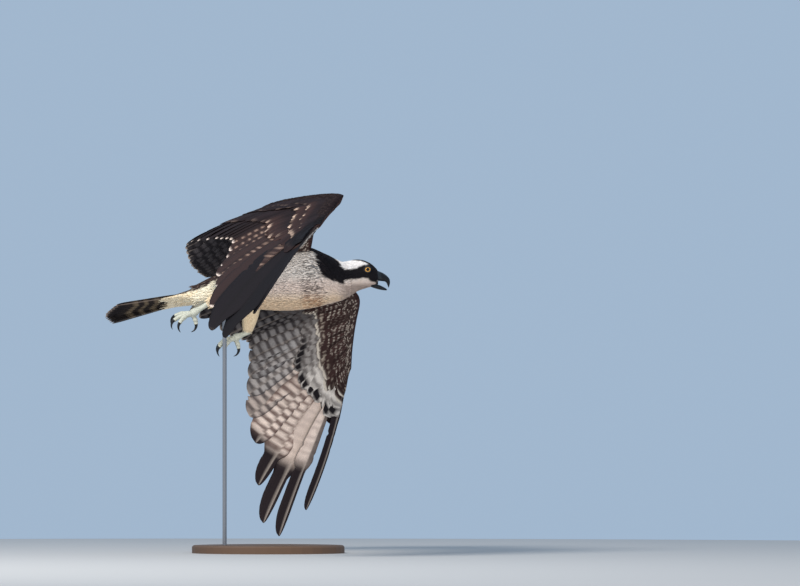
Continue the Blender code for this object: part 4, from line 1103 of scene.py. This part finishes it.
def trousers(side, path, across):
    """Skin and feathers of one thigh."""
    fixed = "cream_feathers", "thigh_" + side
    dress("thigh_skin_" + side, closed_tube(tube_rings(path, THIGH_RADII - 0.0022, across, 40, 32)),
          srgb(236, 216, 184), SKIN, *fixed)
    rows, columns = 40, 34
    rings = tube_rings(path, THIGH_RADII, across, THIGH_RINGS, THIGH_ROUND)
    t, profile = np.array([[0.0, 0.4, 0.78, 1.0], [0.7, 1.0, 0.72, 0.1]])[..., None]
    draws = np.array([(RANDOM.integers(0, 6), RANDOM.integers(-1, 2), RANDOM.uniform())
                      for _ in range(rows * columns)])
    row, column = np.divmod(np.arange(rows * columns), columns)
    start = deep((row * 8.4 + draws[:, 0]).astype(int))
    spin = deep(((column + 0.5 * (row % 2)) * 4 + draws[:, 1]).astype(int))
    chance = deep(draws[:, 2])
    end = np.minimum(start + TUFT_RINGS, THIGH_RINGS - 1)
    line = np.clip(np.round(start + (end - start) * t).astype(int), 0, THIGH_RINGS - 1)
    flesh = rings[line, (spin + np.round(profile * (-3, 0, 3)).astype(int)) % THIGH_ROUND]
    high = -0.0024 + 0.0028 * t + np.array((0.0, 0.0007, 0.0)) + 0.0004 * chance * t
    grid = flesh + unit(flesh - rings.mean(axis=1)[line]) * high[..., None]
    hem = start[:, 0, 0] > HEM_RING
    grid[hem, 2:] += unit(path[-1] - path[2]) * 0.004 * (t[2:] - 0.3)[..., None]
    dress_leaves("trousers_" + side, grid, mix(srgb(244, 228, 198), srgb(222, 196, 160), chance * 0.6),
                 0.02 + 0.96 * start / THIGH_RINGS + 0.003 * t,
                 0.02 + 0.96 * (spin % THIGH_ROUND) / THIGH_ROUND + np.array((-0.0015, 0, 0.0015)), *fixed)


def toe(ankle, heading, spread, droop, length, curl):
    """Rings of one toe and of its talon."""
    turn = math.radians(heading + spread)
    flat, upright = np.array((math.cos(turn), math.sin(turn), 0.0)), np.array((0.0, 0.0, 1.0))
    line = [ankle]
    for step in range(TOE_STEPS):
        tilt = math.radians(droop + curl * step / TOE_STEPS)
        line.append(line[-1] + (flat * math.cos(tilt) - upright * math.sin(tilt)) * length / TOE_STEPS)
    beside, along = np.cross(flat, upright), unit(line[-1] - line[-2])
    hook = [line[-1] - along * 0.002, line[-1] - along * 0.001]
    for step in range(CLAW_STEPS):
        bend = math.radians(CLAW_BEND * step / CLAW_STEPS)
        hook.append(hook[-1] + (along * math.cos(bend) + np.cross(along, beside) * math.sin(bend))
                    * CLAW_LENGTH / CLAW_STEPS)
    pads = np.array((1.0, 1.02, 0.86, 0.98, 0.8, 0.76)) * TOE_RADIUS
    sizes = (0.003, *(0.0031 * (1 - np.arange(CLAW_STEPS + 1) / CLAW_STEPS) ** 0.8 + 0.0002))
    return tube_rings(line, pads, beside, 70, 24, scutes), tube_rings(hook, sizes, beside, 40, 18)


def dress_leg(side):
    """Trousers, scaly foot and claws of one leg."""
    hip, middle, heel, ankle = (CENTRE + np.array(point) for point in LEGS[side])
    across = unit(np.cross(heel - hip, np.array((0.0, 0.0, 1.0))))
    trousers(side, np.array([hip, (hip + middle) / 2, middle, middle * 0.4 + heel * 0.6, heel]), across)
    down = unit(ankle - heel)
    start = heel - down * 0.006
    shank = tube_rings([start, (start + ankle) / 2, ankle, ankle + down * 0.004],
                       np.array((1.0, 0.95, 1.32, 0.8)) * TARSUS_RADIUS, across, 60, 28, scutes)
    toes, talons = zip(*(toe(ankle, *row) for row in TOES[side]))
    mesh = joined((shank, *toes))
    tints = mix(srgb(206, 208, 194), srgb(164, 166, 152), 0.5 + 0.5 * noise(mesh[0], 300.0, 5))
    dress("foot_scales_" + side, mesh, tints, SCALES, "pale_scales", "foot_" + side)
    dress("talons_" + side, joined(talons), srgb(22, 21, 23), HORN, "black_horn",
          *("claw_%s_%d" % (side, index + 1) for index in range(len(talons))))


dress_body()
for flank in (-1, 1):
    dress_eye(flank)
dress_bill("bill_upper", BILL_UPPER, True)
dress_bill("bill_lower", BILL_LOWER, False)
for flank in ("left", "right"):
    dress_leg(flank)
for flank in ("left", "right"):
    dress_wing(flank)
tail_feathers()
tail_coverts()


# Floor, light and camera

FLOOR_RADIUS, FLOOR_PLACE = 3.0, (0, -1.4, 0)
SKY, SKY_STRENGTH = (0.5, 0.66, 0.86, 1.0), 0.72
CAMERA_LENS, CAMERA_AWAY, CAMERA_RIGHT, CAMERA_BELOW = 592.0, 25.0, 0.1653, 0.0589

bpy.ops.mesh.primitive_circle_add(vertices=96, radius=FLOOR_RADIUS, fill_type="NGON", location=FLOOR_PLACE)
floor = bpy.context.object
floor.name = "floor"
floor.data.materials.append(plain("floor", (0.46, 0.46, 0.46), 0.9))

world = bpy.data.worlds.new("studio")
bpy.context.scene.world = world
world.use_nodes = True
background = world.node_tree.nodes["Background"]
background.inputs["Color"].default_value = SKY
background.inputs["Strength"].default_value = SKY_STRENGTH
bpy.context.scene.view_settings.view_transform = "Standard"


def area_light(name, offset, size, power, colour, shine):
    """A soft square light aimed at the bird from an offset."""
    data = bpy.data.lights.new(name, "AREA")
    data.size = size
    data.energy = power
    data.color = colour
    data.specular_factor = shine
    lamp = bpy.data.objects.new(name, data)
    bpy.context.scene.collection.objects.link(lamp)
    lamp.visible_glossy = shine > 0.5
    lamp.location = Vector(CENTRE + np.array(offset))
    lamp.rotation_euler = (Vector(CENTRE) - lamp.location).to_track_quat("-Z", "Y").to_euler()


area_light("key", (-1.5, -1.9, 2.1), 0.9, 105, (1.0, 0.95, 0.88), 0.7)
area_light("fill", (1.6, -6.0, 0.2), 2.0, 240, (1.0, 0.93, 0.86), 0.1)

camera_data = bpy.data.cameras.new("camera")
camera_data.lens = CAMERA_LENS
camera_data.clip_end = 200.0
camera = bpy.data.objects.new("camera", camera_data)
bpy.context.scene.collection.objects.link(camera)
camera.location = (CENTRE[0] + CAMERA_RIGHT, CENTRE[1] - CAMERA_AWAY, SHOULDER_HEIGHT - CAMERA_BELOW)
camera.rotation_euler = (math.radians(90), 0, 0)
bpy.context.scene.camera = camera
